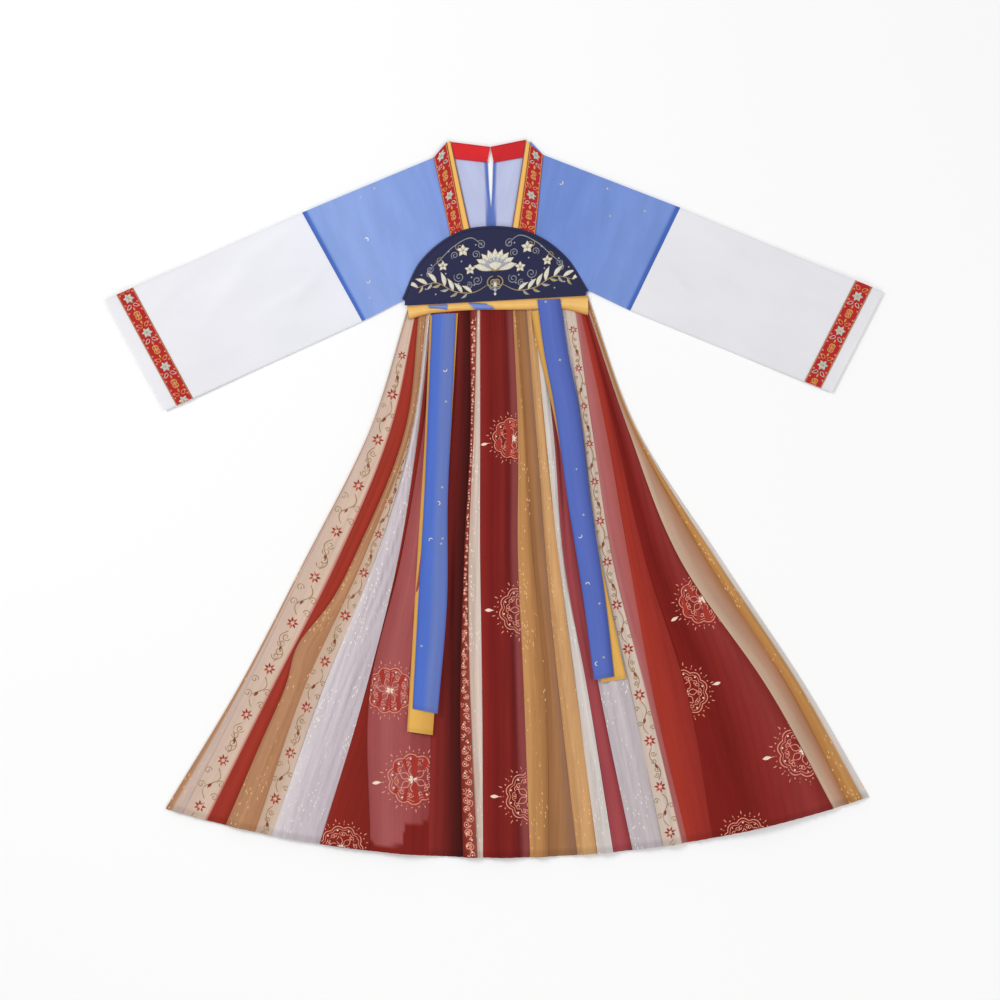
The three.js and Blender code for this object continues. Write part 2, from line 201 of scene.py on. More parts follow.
def cloth_sheet(name, top, material, colour, wall=WALL):
    """A closed thin shell under a grid of points, rows down and columns across."""
    rows, columns = top.shape[:2]
    count = rows * columns
    under = top - np.array([0, 0, wall])
    cell = (np.arange(rows - 1)[:, None] * columns + np.arange(columns - 1)).ravel()
    quads = np.stack([cell, cell + columns, cell + columns + 1, cell + 1], 1)
    rim = np.concatenate([
        np.arange(columns - 1),
        np.arange(rows - 1) * columns + columns - 1,
        (rows - 1) * columns + np.arange(columns - 1, 0, -1),
        np.arange(rows - 1, 0, -1) * columns,
    ])
    after = np.roll(rim, -1)
    side = np.stack([rim, after, after + count, rim + count], 1)
    faces = np.concatenate([quads, quads[:, ::-1] + count, side])
    across = np.linalg.norm(np.diff(top, axis=1, prepend=top[:, :1]), axis=2).cumsum(1)
    across = across - across[:, -1:] / 2
    down = np.linalg.norm(np.diff(top, axis=0, prepend=top[:1]), axis=2).cumsum(0)
    thread = np.stack([across, -down], -1).reshape(-1, 2) * MM
    points = np.concatenate([top.reshape(-1, 3), under.reshape(-1, 3)])
    colour = np.concatenate([colour.reshape(-1, 4)] * 2)
    down_first, across_first = top[1, 0] - top[0, 0], top[0, 1] - top[0, 0]
    if np.cross(down_first, across_first)[2] < 0:
        faces = faces[:, ::-1]
    return add_mesh(name, points, faces.tolist(), [material], None, colour, np.concatenate([thread] * 2))


def declare(piece, nodes, slot, size, with_pieces=()):
    """Rides a piece and states what it replaces, its finish and its trims; the size of its cut is worked out
    but not passed on.
    """
    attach(piece, "root")
    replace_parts(piece, *nodes)
    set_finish(piece, slot)
    for extra in with_pieces:
        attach(extra, "root")
        if "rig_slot" not in extra:
            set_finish(extra, slot)
    width, length, area = size
    # the flare of a slim gore's hem is left out of its width, and kept in its area
    width = min(width, area / (SLIM_GORE * length))
    min(area, width * length)


# ---- small figures: prints, woven figures and stitching ----
# A figure is (points, faces): points are x, y and height above the cloth.
def stroke(path, width, height=0.0, taper=0.0):
    """A line of thread or ink along a path, domed when height is given."""
    path = np.array(path, float)
    heading = np.gradient(path, axis=0)
    heading /= np.maximum(np.hypot(heading[:, 0], heading[:, 1]), 1e-9)[:, None]
    side = np.stack([-heading[:, 1], heading[:, 0]], 1)
    t = np.linspace(0, 1, len(path))
    half = width / 2 * (1 - taper * (1 - np.minimum(1, 4 * np.minimum(t, 1 - t)) ** 0.6))
    lanes = [np.column_stack([path + side * (half * k)[:, None], height * (1 - abs(k)) * half / half.max()])
             for k in (-1, 0, 1)]
    points = np.stack(lanes, 1).reshape(-1, 3)
    faces = []
    for i in range(len(path) - 1):
        for k in (0, 1):
            a = 3 * i + k
            faces.append([a + 1, a, a + 3, a + 4])
    return points, faces


def leaf(length, width, height=0.0, bend=0.0, steps=7, fullness=0.75):
    """A pointed leaf or petal that starts at the origin and runs along +x."""
    t = np.linspace(0, 1, steps)
    path = np.column_stack([length * t, bend * np.sin(math.pi * t)])
    half = width / 2 * np.sin(math.pi * np.clip(t, 0.02, 0.98) ** fullness)
    rise = height * np.sin(math.pi * np.clip(t, 0.06, 0.94)) ** 0.5
    heading = np.gradient(path, axis=0)
    heading /= np.hypot(heading[:, 0], heading[:, 1])[:, None]
    side = np.stack([-heading[:, 1], heading[:, 0]], 1)
    lanes = [np.column_stack([path + side * (half * k)[:, None], rise * (1 - k * k)])
             for k in (-1, -0.5, 0, 0.5, 1)]
    points = np.stack(lanes, 1).reshape(-1, 3)
    faces = []
    for i in range(steps - 1):
        for k in range(4):
            a = 5 * i + k
            faces.append([a + 1, a, a + 5, a + 6])
    return points, faces


def leaf_edge(length, width, bend=0.0, steps=15, fullness=0.75):
    """The outline of that leaf, as a path."""
    t = np.linspace(0, 1, steps)
    half = width / 2 * np.sin(math.pi * np.clip(t, 0.02, 0.98) ** fullness)
    middle = bend * np.sin(math.pi * t)
    up = np.column_stack([length * t, middle + half])
    down = np.column_stack([length * t, middle - half])
    return np.concatenate([up, down[::-1]])


def dot(radius, height=0.0, sides=10):
    """A round dot, or a bead when height is given."""
    angle = np.arange(sides) * 2 * math.pi / sides
    ring = np.column_stack([radius * np.cos(angle), radius * np.sin(angle), np.zeros(sides)])
    inner = ring * [0.6, 0.6, 1] + [0, 0, height * 0.75]
    points = np.concatenate([ring, inner, [[0, 0, height]]])
    faces = []
    for i in range(sides):
        j = (i + 1) % sides
        faces.append([i, j, sides + j, sides + i])
        faces.append([sides + i, sides + j, 2 * sides])
    return points, faces


def curl(radius, turns=1.2, start=0.0, hand=1, steps=26):
    """A scroll's path: from the origin outward tip into its own middle."""
    t = np.linspace(0, 1, steps)
    reach = radius * (1 - 0.82 * t)
    angle = start + hand * 2 * math.pi * turns * t
    spiral = np.column_stack([reach * np.cos(angle), reach * np.sin(angle)])
    return spiral - spiral[0]


def filled(outline):
    """A flat patch inside an outline that its middle sees all of."""
    outline = np.array(outline, float)
    count = len(outline)
    points = np.column_stack([np.vstack([outline, outline.mean(0)]), np.zeros(count + 1)])
    return points, [[i, (i + 1) % count, count] for i in range(count)]


def turned(figure, angle=0.0, x=0.0, y=0.0, size=1.0, mirror=False):
    """A figure or a path, turned, sized and moved."""
    if isinstance(figure, tuple):
        points, faces = figure
        moved = turned(points[:, :2], angle, x, y, size, mirror)
        faces = [face[::-1] for face in faces] if mirror else faces
        return np.column_stack([moved, points[:, 2]]), faces
    path = np.array(figure, float) * size
    if mirror:
        path = path * [1, -1]
    c, s = math.cos(angle), math.sin(angle)
    return np.column_stack([path[:, 0] * c - path[:, 1] * s + x, path[:, 0] * s + path[:, 1] * c + y])


def used_only(points, faces):
    """The points that the faces use, and the faces renumbered for them."""
    used = np.unique(np.concatenate([np.array(f) for f in faces]))
    renumber = np.full(len(points), -1)
    renumber[used] = np.arange(len(used))
    return points[used], [renumber[f].tolist() for f in faces]


def lay_figures(name, figures, surface, lift, materials, inside=None):
    """Lays (figure, material index) pairs on a cloth as one mesh. surface gives
    the height of the cloth's face, and inside says where the figures may be."""
    points, faces, kinds, first = [], [], [], 0
    for (shape, own_faces), kind in figures:
        points.append(shape)
        faces.extend([[k + first for k in face] for face in own_faces])
        kinds.extend([kind] * len(own_faces))
        first += len(shape)
    points = np.concatenate(points)
    if inside is not None:
        allowed = inside(points[:, 0], points[:, 1])
        kept = [i for i, face in enumerate(faces) if allowed[face].all()]
        faces, kinds = [faces[i] for i in kept], [kinds[i] for i in kept]
        points, faces = used_only(points, faces)
    level = surface(points[:, 0], points[:, 1])
    points = np.column_stack([points[:, :2], level + lift + points[:, 2]])
    return add_mesh(name, points, faces, materials, kinds)


# ---- materials ----
def add_node(tree, kind, values=None, **settings):
    """Adds a node; values are its sockets' numbers, colours or links."""
    node = tree.nodes.new(kind)
    for key, value in settings.items():
        setattr(node, key, value)
    for key, value in (values or {}).items():
        if isinstance(value, bpy.types.NodeSocket):
            tree.links.new(value, node.inputs[key])
        else:
            node.inputs[key].default_value = value
    return node


COLOUR_A, COLOUR_B, COLOUR_OUT = 6, 7, 2  # the colour sockets of a Mix node


def blended(tree, factor, a, b, how="MIX"):
    """One colour blended with another; each is a colour or a link."""
    values = {0: factor, COLOUR_A: a, COLOUR_B: b}
    node = add_node(tree, "ShaderNodeMix", values, data_type="RGBA", blend_type=how)
    return node.outputs[COLOUR_OUT]


def new_finish(name, roughness, sheen=0.0, **sockets):
    """A material with its shader, and the yarn map that its patterns follow."""
    material = bpy.data.materials.new(name)
    material.use_nodes = True
    tree = material.node_tree
    shader = tree.nodes["Principled BSDF"]
    shader.inputs["Roughness"].default_value = roughness
    shader.inputs["Sheen Weight"].default_value = sheen
    for key, value in sockets.items():
        shader.inputs[key.replace("_", " ")].default_value = value
    yarns = add_node(tree, "ShaderNodeUVMap", uv_map="thread").outputs["UV"]
    return material, tree, shader, yarns


def stretched(tree, yarns, across, along):
    """The yarn map scaled so that one unit is the given size in millimetres."""
    scale = (1 / (across * MM), 1 / (along * MM), 1)
    mapping = add_node(tree, "ShaderNodeMapping", {"Vector": yarns, "Scale": scale})
    return mapping.outputs["Vector"]


def plain_weave(tree, yarns, pitch):
    """Height of a plain weave: warp and weft threads at one pitch."""
    place = stretched(tree, yarns, pitch, pitch)
    warp = add_node(tree, "ShaderNodeTexWave", {"Vector": place, "Scale": 0.3183},
                    wave_type="BANDS", bands_direction="X", wave_profile="SIN")
    weft = add_node(tree, "ShaderNodeTexWave", {"Vector": place, "Scale": 0.3183},
                    wave_type="BANDS", bands_direction="Y", wave_profile="SIN")
    both = add_node(tree, "ShaderNodeMath", {0: warp.outputs["Fac"], 1: weft.outputs["Fac"]},
                    operation="ADD")
    return both.outputs[0]


def tinted_cloth(tree, shader, yarns, patch, low, high, seed=0.0):
    """The cloth's own colour, a little darker and lighter in patches this size."""
    own = add_node(tree, "ShaderNodeAttribute", attribute_name="cloth_colour")
    noise = add_node(tree, "ShaderNodeTexNoise",
                     {"Vector": stretched(tree, yarns, patch[0], patch[1]), "Scale": 1.0,
                      "Detail": 3.0, "W": seed}, noise_dimensions="4D")
    shade = add_node(tree, "ShaderNodeMapRange",
                     {"Value": noise.outputs["Fac"], "From Min": 0.3, "From Max": 0.7,
                      "To Min": low, "To Max": high})
    grey = add_node(tree, "ShaderNodeCombineColor",
                    {"Red": shade.outputs[0], "Green": shade.outputs[0], "Blue": shade.outputs[0]})
    colour = blended(tree, 1.0, own.outputs["Color"], grey.outputs[0], "MULTIPLY")
    tree.links.new(colour, shader.inputs["Base Color"])
    return colour


def raise_bump(tree, shader, height, depth, before=None):
    """Bump of a height map whose full depth is in millimetres."""
    values = {"Height": height, "Distance": depth * MM, "Strength": 1.0}
    if before is not None:
        values["Normal"] = before
    bump = add_node(tree, "ShaderNodeBump", values)
    tree.links.new(bump.outputs["Normal"], shader.inputs["Normal"])
    return bump.outputs["Normal"]


def chiffon(name, seed=0.0):
    """Polyester chiffon, plain woven and matt: an even, soft-edged colour."""
    material, tree, shader, yarns = new_finish(name, 0.8, sheen=0.02, Specular_IOR_Level=0.12)
    tinted_cloth(tree, shader, yarns, (18, 90), 0.93, 1.07, seed)
    # real threads lie 0.25 mm apart; they are drawn at 1.1 mm so that they show
    weave = raise_bump(tree, shader, plain_weave(tree, yarns, 1.1), 0.05)
    slub = add_node(tree, "ShaderNodeTexNoise",
                    {"Vector": stretched(tree, yarns, 2.5, 14), "Scale": 1.0, "Detail": 2.0})
    raise_bump(tree, shader, slub.outputs["Fac"], 0.25, weave)
    return material


def crinkled_lurex(name, fleck_hex, fleck_share, seed=0.0):
    """Crinkled chiffon with a flat metal yarn: lengthwise creases and small
    bright flecks where the yarn turns to the light."""
    material, tree, shader, yarns = new_finish(name, 0.65, sheen=0.03, Specular_IOR_Level=0.25)
    cloth = tinted_cloth(tree, shader, yarns, (7, 160), 0.88, 1.10, seed)
    crinkle = add_node(tree, "ShaderNodeTexNoise",
                       {"Vector": stretched(tree, yarns, 3.2, 38), "Scale": 1.0, "Detail": 3.0,
                        "W": seed}, noise_dimensions="4D")
    raise_bump(tree, shader, crinkle.outputs["Fac"], 1.4)
    grain = add_node(tree, "ShaderNodeTexVoronoi",
                     {"Vector": stretched(tree, yarns, 2.2, 6.5), "Scale": 1.0}, voronoi_dimensions="2D")
    lot = add_node(tree, "ShaderNodeSeparateColor", {"Color": grain.outputs["Color"]})
    drift = add_node(tree, "ShaderNodeTexNoise",
                     {"Vector": stretched(tree, yarns, 22, 70), "Scale": 1.0, "Detail": 1.0})
    chosen = add_node(tree, "ShaderNodeMath",
                      {0: lot.outputs["Red"], 1: drift.outputs["Fac"]}, operation="MULTIPLY")
    rare = 1 - fleck_share
    bright = add_node(tree, "ShaderNodeMapRange",
                      {"Value": chosen.outputs[0], "From Min": rare, "From Max": rare + 0.04})
    core = add_node(tree, "ShaderNodeMapRange",
                    {"Value": grain.outputs["Distance"], "From Min": 0.34, "From Max": 0.22})
    fleck = add_node(tree, "ShaderNodeMath", {0: bright.outputs[0], 1: core.outputs[0]},
                     operation="MULTIPLY")
    painted = blended(tree, fleck.outputs[0], cloth, linear(fleck_hex))
    tree.links.new(painted, shader.inputs["Base Color"])
    tree.links.new(fleck.outputs[0], shader.inputs["Metallic"])
    return material


def organza():
    """Silk-like organza, sheer and crisp: pale, with a faint cool shine."""
    material, tree, shader, yarns = new_finish(
        "white_organza", 0.45, sheen=0.1, Specular_IOR_Level=0.4, Alpha=0.86)
    tinted_cloth(tree, shader, yarns, (60, 120), 0.965, 1.02)
    raise_bump(tree, shader, plain_weave(tree, yarns, 1.1), 0.03)
    return material


def satin(name, roughness, seed=0.0):
    """Weft-faced satin: smooth, with a soft stretched shine along its length."""
    material, tree, shader, yarns = new_finish(name, roughness, sheen=0.06, Specular_IOR_Level=0.3)
    tinted_cloth(tree, shader, yarns, (9, 120), 0.95, 1.05, seed)
    threads = add_node(tree, "ShaderNodeTexNoise",
                       {"Vector": stretched(tree, yarns, 0.9, 9), "Scale": 1.0, "Detail": 2.0})
    raise_bump(tree, shader, threads.outputs["Fac"], 0.12)
    return material


def twill(name):
    """Cotton twill: matt, with fine slanting ribs."""
    material, tree, shader, yarns = new_finish(name, 0.8, sheen=0.2, Specular_IOR_Level=0.3)
    tinted_cloth(tree, shader, yarns, (12, 12), 0.94, 1.05)
    ribs = add_node(tree, "ShaderNodeTexWave",
                    {"Vector": stretched(tree, yarns, 1.3, 1.3), "Scale": 0.3183},
                    wave_type="BANDS", bands_direction="DIAGONAL")
    raise_bump(tree, shader, ribs.outputs["Fac"], 0.15)
    return material


def thread_finish(name, code, roughness, metallic=0.0):
    """Rayon or metal-wrapped thread, laid side by side: a silky, broken shine."""
    material, tree, shader, _ = new_finish(name, roughness, sheen=0.1, Metallic=metallic)
    place = add_node(tree, "ShaderNodeTexCoord").outputs["Object"]
    fine = add_node(tree, "ShaderNodeTexNoise", {"Vector": place, "Scale": 1 / (1.1 * MM), "Detail": 2.0})
    tone = add_node(tree, "ShaderNodeMapRange",
                    {"Value": fine.outputs["Fac"], "From Min": 0.3, "From Max": 0.7, "To Min": 0.0})
    shadow = [c * 0.62 for c in linear(code)[:3]] + [1]
    tree.links.new(blended(tree, tone.outputs[0], shadow, linear(code)), shader.inputs["Base Color"])
    raise_bump(tree, shader, fine.outputs["Fac"], 0.2)
    return material


def ink(name, code, roughness=0.6, metallic=0.0):
    """Pigment or foil print: thin and slightly uneven on the cloth."""
    material, tree, shader, _ = new_finish(name, roughness, Metallic=metallic, Specular_IOR_Level=0.3)
    place = add_node(tree, "ShaderNodeTexCoord").outputs["Object"]
    wear = add_node(tree, "ShaderNodeTexNoise", {"Vector": place, "Scale": 1 / (2.5 * MM), "Detail": 3.0})
    thin = [c * 0.8 for c in linear(code)[:3]] + [1]
    full = [min(1, c * 1.15) for c in linear(code)[:3]] + [1]
    tree.links.new(blended(tree, wear.outputs["Fac"], thin, full), shader.inputs["Base Color"])
    return material


FINISH = {
    "blue_chiffon": chiffon("blue_chiffon", 1.0),
    "organza": organza(),
    "woven_ribbon": twill("red_jacquard_ground"),
    "red_band": twill("red_twill"),
    "navy_satin": satin("navy_satin", 0.5, 2.0),
    "yellow_satin": satin("yellow_satin", 0.55, 3.0),
    "blue_satin": satin("blue_satin", 0.55, 4.0),
    "tan_crinkle": crinkled_lurex("tan_crinkled_lurex", "#F0C890", 0.54, 5.0),
    "white_crinkle": crinkled_lurex("white_crinkled_lurex", "#F4ECE4", 0.55, 6.0),
    "floral_print": chiffon("beige_chiffon_net", 7.0),
    "beige_chiffon": chiffon("beige_chiffon", 8.0),
    "rust_chiffon": chiffon("rust_chiffon", 9.0),
    "dark_chiffon": chiffon("dark_red_chiffon", 10.0),
    "rose_chiffon": chiffon("rose_chiffon", 11.0),
    "mauve_chiffon": chiffon("brown_chiffon", 12.0),
}
THREAD = {
    "cream": thread_finish("cream_satin_stitch", "#EFEBDC", 0.4),
    "silver": thread_finish("silver_thread", "#B9B9BE", 0.35, 0.35),
    "gold": thread_finish("pale_gold_thread", "#C9B47C", 0.35, 0.4),
    "ribbon_gold": thread_finish("ribbon_gold_thread", "#DDA04C", 0.45, 0.3),
    "ribbon_silver": thread_finish("ribbon_silver_thread", "#C3CDBE", 0.45, 0.2),
    "coral": thread_finish("coral_thread", "#EE8C7C", 0.6),
}
INK = {
    "flower": ink("flower_red_ink", "#93291A"),
    "flower_light": ink("flower_orange_ink", "#BC4A2C"),
    "vine": ink("vine_gold_ink", "#9C7A50", 0.5, 0.2),
    "bud": ink("bud_brown_ink", "#7E3A24"),
    "line": ink("medallion_line_ink", "#DF9078", 0.5),
    "tint": ink("medallion_ground_ink", "#A22A1C"),
    "cream": ink("cream_ink", "#F0D8C4", 0.45),
    "foil": ink("silver_foil", "#E4E2E6", 0.3, 0.5),
}


# ---- skirt ----
# One row a strip: cloth, then its left edge at the waist, hip, knee, calf and
# hem, the lift of that edge, the lift of the fold between its edges and where
# across the strip that fold's crest lies, as in the solids; then the colours
# across it.
SKIRT = [
    ("tan_1", "tan_crinkle", -120, -174, -265, -360, -460, 0, 2, 0.6,
     [(0, "#A87650"), (0.3, "#B98A68"), (0.45, "#C8B0A4"), (1, "#C4ACA0")]),
    ("floral_1", "floral_print", -117, -171, -260, -348, -437, 2, 3.5, 0.5,
     [(0, "#CDB3A4"), (0.92, "#D6BCA8"), (0.94, "#C4766A"), (1, "#B86458")]),
    ("rust_1", "rust_chiffon", -108, -145, -219, -311, -402, 2.5, 1, 0.5,
     [(0, "#9A3428"), (0.6, "#A23628"), (1, "#8A281C")]),
    ("tan_2", "tan_crinkle", -105, -125, -198, -293, -376, 1.5, 5, 0.4,
     [(0, "#A67654"), (0.4, "#B98660"), (1, "#AA7652")]),
    ("floral_2", "floral_print", -94, -117, -184, -267, -335, 3, 5, 0.6,
     [(0, "#C4A68E"), (1, "#CFB8A8")]),
    ("white_1", "white_crinkle", -91, -114, -167, -240, -311, 4, 7, 0.35,
     [(0, "#D3CACE"), (0.5, "#C9BEC4"), (1, "#C0B4BA")]),
    ("dark_1", "dark_chiffon", -87, -106, -135, -180, -244, 4, 5, 0.5,
     [(0, "#8A261E"), (1, "#7C2018")]),
    ("rose_1", "rose_chiffon", -83, -100, -131, -174, -174, 5, 9, 0.6,
     [(0, "#984646"), (0.3, "#A65858"), (0.7, "#9C4A4A"), (1, "#8A3838")]),
    # painted shade: dark_2 is dark red cloth, drawn near-black towards its right side as the shadow in its
    # deep fold
    ("dark_2", "dark_chiffon", -59, -68, -76, -85, -93, 4, 0.5, 0.5,
     [(0, "#8A2A26"), (0.35, "#7A2420"), (0.7, "#541614"), (1, "#3A0E0C")]),
    ("floral_3", "rust_chiffon", -34, -34, -43, -48, -44, 3, 7, 0.4,
     [(0, "#7E261E"), (1, "#96483C")]),
    ("white_2", "white_crinkle", -24, -29, -36, -34, -24, 6, 4, 0.6,
     [(0, "#C4A898"), (0.5, "#D2BEB0"), (1, "#DACAC0")]),
    ("dark_3", "dark_chiffon", -20, -20, -20, -17, -16, 3, 9, 0.45,
     [(0, "#8C2420"), (0.3, "#741A18"), (0.6, "#7E221E"), (0.78, "#681A1A"), (0.88, "#8A4242"),
      (1, "#884040")]),
    ("tan_3", "tan_crinkle", 25, 33, 33, 41, 50, 2, 6, 0.5,
     [(0, "#C49058"), (0.55, "#B8824C"), (1, "#98663A")]),
    # painted shade: mauve_1's browns are partly its own mauve-brown cloth and partly painted shade of the
    # valley it lies in
    ("mauve_1", "mauve_chiffon", 30, 44, 55, 72, 76, 2.5, 0.5, 0.5,
     [(0, "#94643E"), (0.5, "#A4744C"), (1, "#8C6650")]),
    ("tan_4", "tan_crinkle", 44, 58, 72, 90, 116, 3, 7, 0.4,
     [(0, "#BC8A58"), (0.5, "#D0A06C"), (1, "#C4925E")]),
    ("white_3", "white_crinkle", 54, 71, 90, 114, 144, 5.5, 7, 0.5,
     [(0, "#CEC2BA"), (1, "#D2CAC6")]),
    ("rose_2", "rose_chiffon", 60, 82, 97, 130, 166, 5, 1.5, 0.6,
     [(0, "#9A4248"), (0.6, "#A44A4E"), (1, "#803036")]),
    ("white_4", "white_crinkle", 67, 92, 116, 147, 193, 3, 7, 0.5,
     [(0, "#BAB0B4"), (0.5, "#C4BABE"), (1, "#B8ACAE")]),
    ("floral_4", "floral_print", 96, 123, 148, 190, 236, 6, 8, 0.4,
     [(0, "#CAB8AA"), (0.93, "#D2C0B2"), (1, "#B87068")]),
    ("rose_3", "rose_chiffon", 111, 137, 166, 212, 263, 5, 2, 0.6,
     [(0, "#B26C6C"), (1, "#A85450")]),
    ("rust_2", "rust_chiffon", 116, 156, 188, 221, 270, 3, 5, 0.5,
     [(0, "#A43426"), (0.5, "#9C3026"), (1, "#8E2A22")]),
    ("dark_4", "dark_chiffon", 120, 169, 211, 268, 306, 4, 8, 0.4,
     [(0, "#7E1C16"), (0.3, "#721814"), (0.55, "#862622"), (0.85, "#8C3230"), (1, "#7E2622")]),
    ("beige_1", "beige_chiffon", 124, 187, 260, 384, 474, 4, 2, 0.7,
     [(0, "#C4A890"), (0.4, "#B6947E"), (0.75, "#AE8066"), (1, "#A06E48")]),
    ("tan_5", "tan_crinkle", 127, 195, 296, 414, 495, 2.5, 3, 0.4,
     [(0, "#A66C34"), (0.4, "#C08A4C"), (0.68, "#B07E48"), (0.76, "#CAC0B8"), (1, "#D2CCC8")]),
    ("right_side", None, 131, 200, 317, 438, 524, 0, 0, 0.5, None),
]
STRIP_NAMES = [row[0] for row in SKIRT]
PINCH = {"tan_2": (-204, 42, -15)}  # height, reach and depth of an edge's local bow


def strip_edge(i):
    """Where strip i starts at any height."""
    name, _, waist, hip, knee, calf, hem = SKIRT[i][:7]
    stations = [waist_y(waist) - GAP, HIP_Y, KNEE_Y, CALF_Y, float(hem_y(hem))]
    curve = curve_through(stations, [waist, hip, knee, calf, hem])
    if name not in PINCH:
        return curve
    at, reach, depth = PINCH[name]
    return lambda y: curve(y) + depth * np.exp(-((y - at) / reach) ** 2)


EDGES = [strip_edge(i) for i in range(len(SKIRT))]


SWAY = 0.22  # how much a fold's lift comes and goes down its length
PLEAT_PITCH, PLEAT_DEPTH = 13, 0.95
GATHER_PITCH, GATHER_DEPTH = 5, 0.7
CRINKLE = 0.5
SEAM_DEPTH, SEAM_WIDTH = 0.45, 1.3
HEM_STEP = 0.35


def strip_height(i, x, y):
    """Height of the skirt's outer face on strip i, at places on that strip."""
    left, right = EDGES[i](y), EDGES[i + 1](y)
    u = np.clip((x - left) / np.maximum(right - left, 0.1), 0, 1)
    edge, crest, at = SKIRT[i][7:10]
    after = SKIRT[i + 1][7]
    rising = mix(edge, crest, smooth(u, 0, at))
    falling = mix(crest, after, smooth(u, at, 1))
    opened = mix(WAIST_FOLD, 1, smooth(WAIST_Y - y, 0, FOLDS_OPEN))
    sway = 1 + SWAY * np.sin(y / 95 + 2.1 * i)
    from_edge = np.minimum(x - left, right - x)
    width = right - left
    inner = smooth(from_edge, 0, 8)
    pleats = np.sin(u * width / PLEAT_PITCH * 2 * math.pi + np.sin(y / 130 + i) * 2.2 + 1.7 * i)
    ruffle = PLEAT_DEPTH * inner * pleats * smooth(WAIST_Y - y, 20, 160)
    gather_count = max(1, round(float(SKIRT[i + 1][2] - SKIRT[i][2]) / GATHER_PITCH))
    gathers = GATHER_DEPTH * np.sin(u * 2 * math.pi * gather_count + i)
    gathers = gathers * (1 - smooth(WAIST_Y - y, 10, 150))
    seam = -SEAM_DEPTH * np.exp(-(from_edge / SEAM_WIDTH) ** 2)
    if SKIRT[i][1] in ("tan_crinkle", "white_crinkle"):
        wander = 1.6 * np.sin(y / 60 + i) + ripples(x, y, 40 + i, 60)
        ruffle = ruffle + CRINKLE * inner * np.sin(x * 0.9 + wander)
    turn = HEM_STEP * smooth(-(y - hem_y(x)), -HEM_TURN - 1, -HEM_TURN + 1)
    lift = np.where(u < at, rising, falling) * opened * sway
    return FRONT + CLOTH + lift + ruffle + gathers + seam + turn + creases(x, y, SKIRT_CREASES)


# Start, end, half width and height of the creases that cross the wide strips.
SKIRT_CREASES = [
    ((-172, -60), (-236, -200), 7, 1.6),
    ((-200, -330), (-268, -400), 9, 1.4),
    ((-244, -190), (-300, -290), 8, -1.3),
    ((-150, -150), (-132, -300), 9, -1.2),
    ((-128, -230), (-140, -430), 10, 1.5),
    ((-60, -180), (-66, -400), 8, 1.6),
    ((238, -90), (300, -240), 12, 1.7),
    ((262, -250), (330, -420), 14, 1.6),
    ((330, -250), (400, -400), 12, -1.5),
    ((300, -330), (352, -452), 10, 1.2),
    ((380, -300), (455, -430), 9, 1.2),
    ((205, -120), (248, -330), 9, 1.1),
    ((170, -300), (196, -470), 8, -1.1),
    ((8, -60), (14, -300), 9, 1.3),
]
ROSE_END_LEFT, ROSE_END_RIGHT, ROSE_CORNER = -484, -454, 9  # heights of its hem, and their rounding
HEM_DARK = 0.82  # two thicknesses of sheer cloth look darker


def strip_colour(i, x, y, u):
    """Colour across a strip, darker in its turned hem."""
    colour = shades(SKIRT[i][10], u)
    turned_hem = smooth(-(y - hem_y(x)), -HEM_TURN - 0.5, -HEM_TURN + 0.5)
    colour[..., :3] *= (1 - (1 - HEM_DARK) * turned_hem)[..., None]
    if SKIRT[i][0] == "rose_1":
        # the rose layer is cut short, and the dark red one under it shows below
        end = mix(ROSE_END_LEFT, ROSE_END_RIGHT, smooth(u, 0.56, 0.6)) + ROSE_CORNER * (2 * u - 1) ** 8
        colour = mix(colour, np.array(linear("#7C1E18")), smooth(end - y, -1, 1)[..., None])
    return colour


def skirt_front():
    """The strips of the front, each with its flat size."""
    pieces = {}
    for i, row in enumerate(SKIRT[:-1]):
        name, cloth = row[0], row[1]
        hem_width = SKIRT[i + 1][6] - row[6]
        columns = max(8, int(hem_width / 2.2))
        u = np.linspace(0, 1, columns + 1)[None, :]
        v = np.linspace(0, 1, 135)[:, None]
        hem_x = mix(row[6], SKIRT[i + 1][6], u)
        waist_x = mix(row[2], SKIRT[i + 1][2], u)
        y = mix(waist_y(waist_x) - GAP, hem_y(hem_x), v)
        x = mix(EDGES[i](y), EDGES[i + 1](y), u)
        z = strip_height(i, x, y)
        u = np.broadcast_to(u, x.shape)
        top = np.stack([x, y, z], -1)
        piece = cloth_sheet(f"strip_{name}", top, FINISH[cloth], strip_colour(i, x, y, u))
        pieces[name] = (piece, grid_size(top))
    return pieces


# ---- prints on the skirt ----
FLOWER_PITCH = 64
FLOWER_SIZE = 9  # radius
# Each flowered strip, the height of its first flower and its share of the width
FLORAL_STRIPS = [("floral_1", 200, 0.9), ("floral_2", 170, 0.95), ("floral_4", 236, 0.95)]
STEP_DOWN = 4  # a short way down a strip, to read its slant


def strip_inside(i, margin=0.5):
    """Says which places lie on strip i."""

    def inside(x, y):
        on_cloth = (y > hem_y(x) + margin) & (y < waist_y(x) - 12)
        return (x > EDGES[i](y) + margin) & (x < EDGES[i + 1](y) - margin) & on_cloth
    return inside


def strip_middle(i, y):
    """The middle of a strip at a height, and the way it runs down from there."""
    x = mix(EDGES[i](y), EDGES[i + 1](y), 0.5)
    below = mix(EDGES[i](y - STEP_DOWN), EDGES[i + 1](y - STEP_DOWN), 0.5)
    return float(x), math.atan2(-STEP_DOWN, float(below - x))


def printed_flower(x, y, angle, size):
    """Seven petals round an open middle, in two reds."""
    figures = []
    for k in range(7):
        a = angle + k * 2 * math.pi / 7
        petal = turned(leaf(size * 0.72, size * 0.36, fullness=0.55), a,
                       x + 0.26 * size * math.cos(a), y + 0.26 * size * math.sin(a))
        figures.append((petal, 0 if k % 3 else 1))
    return figures


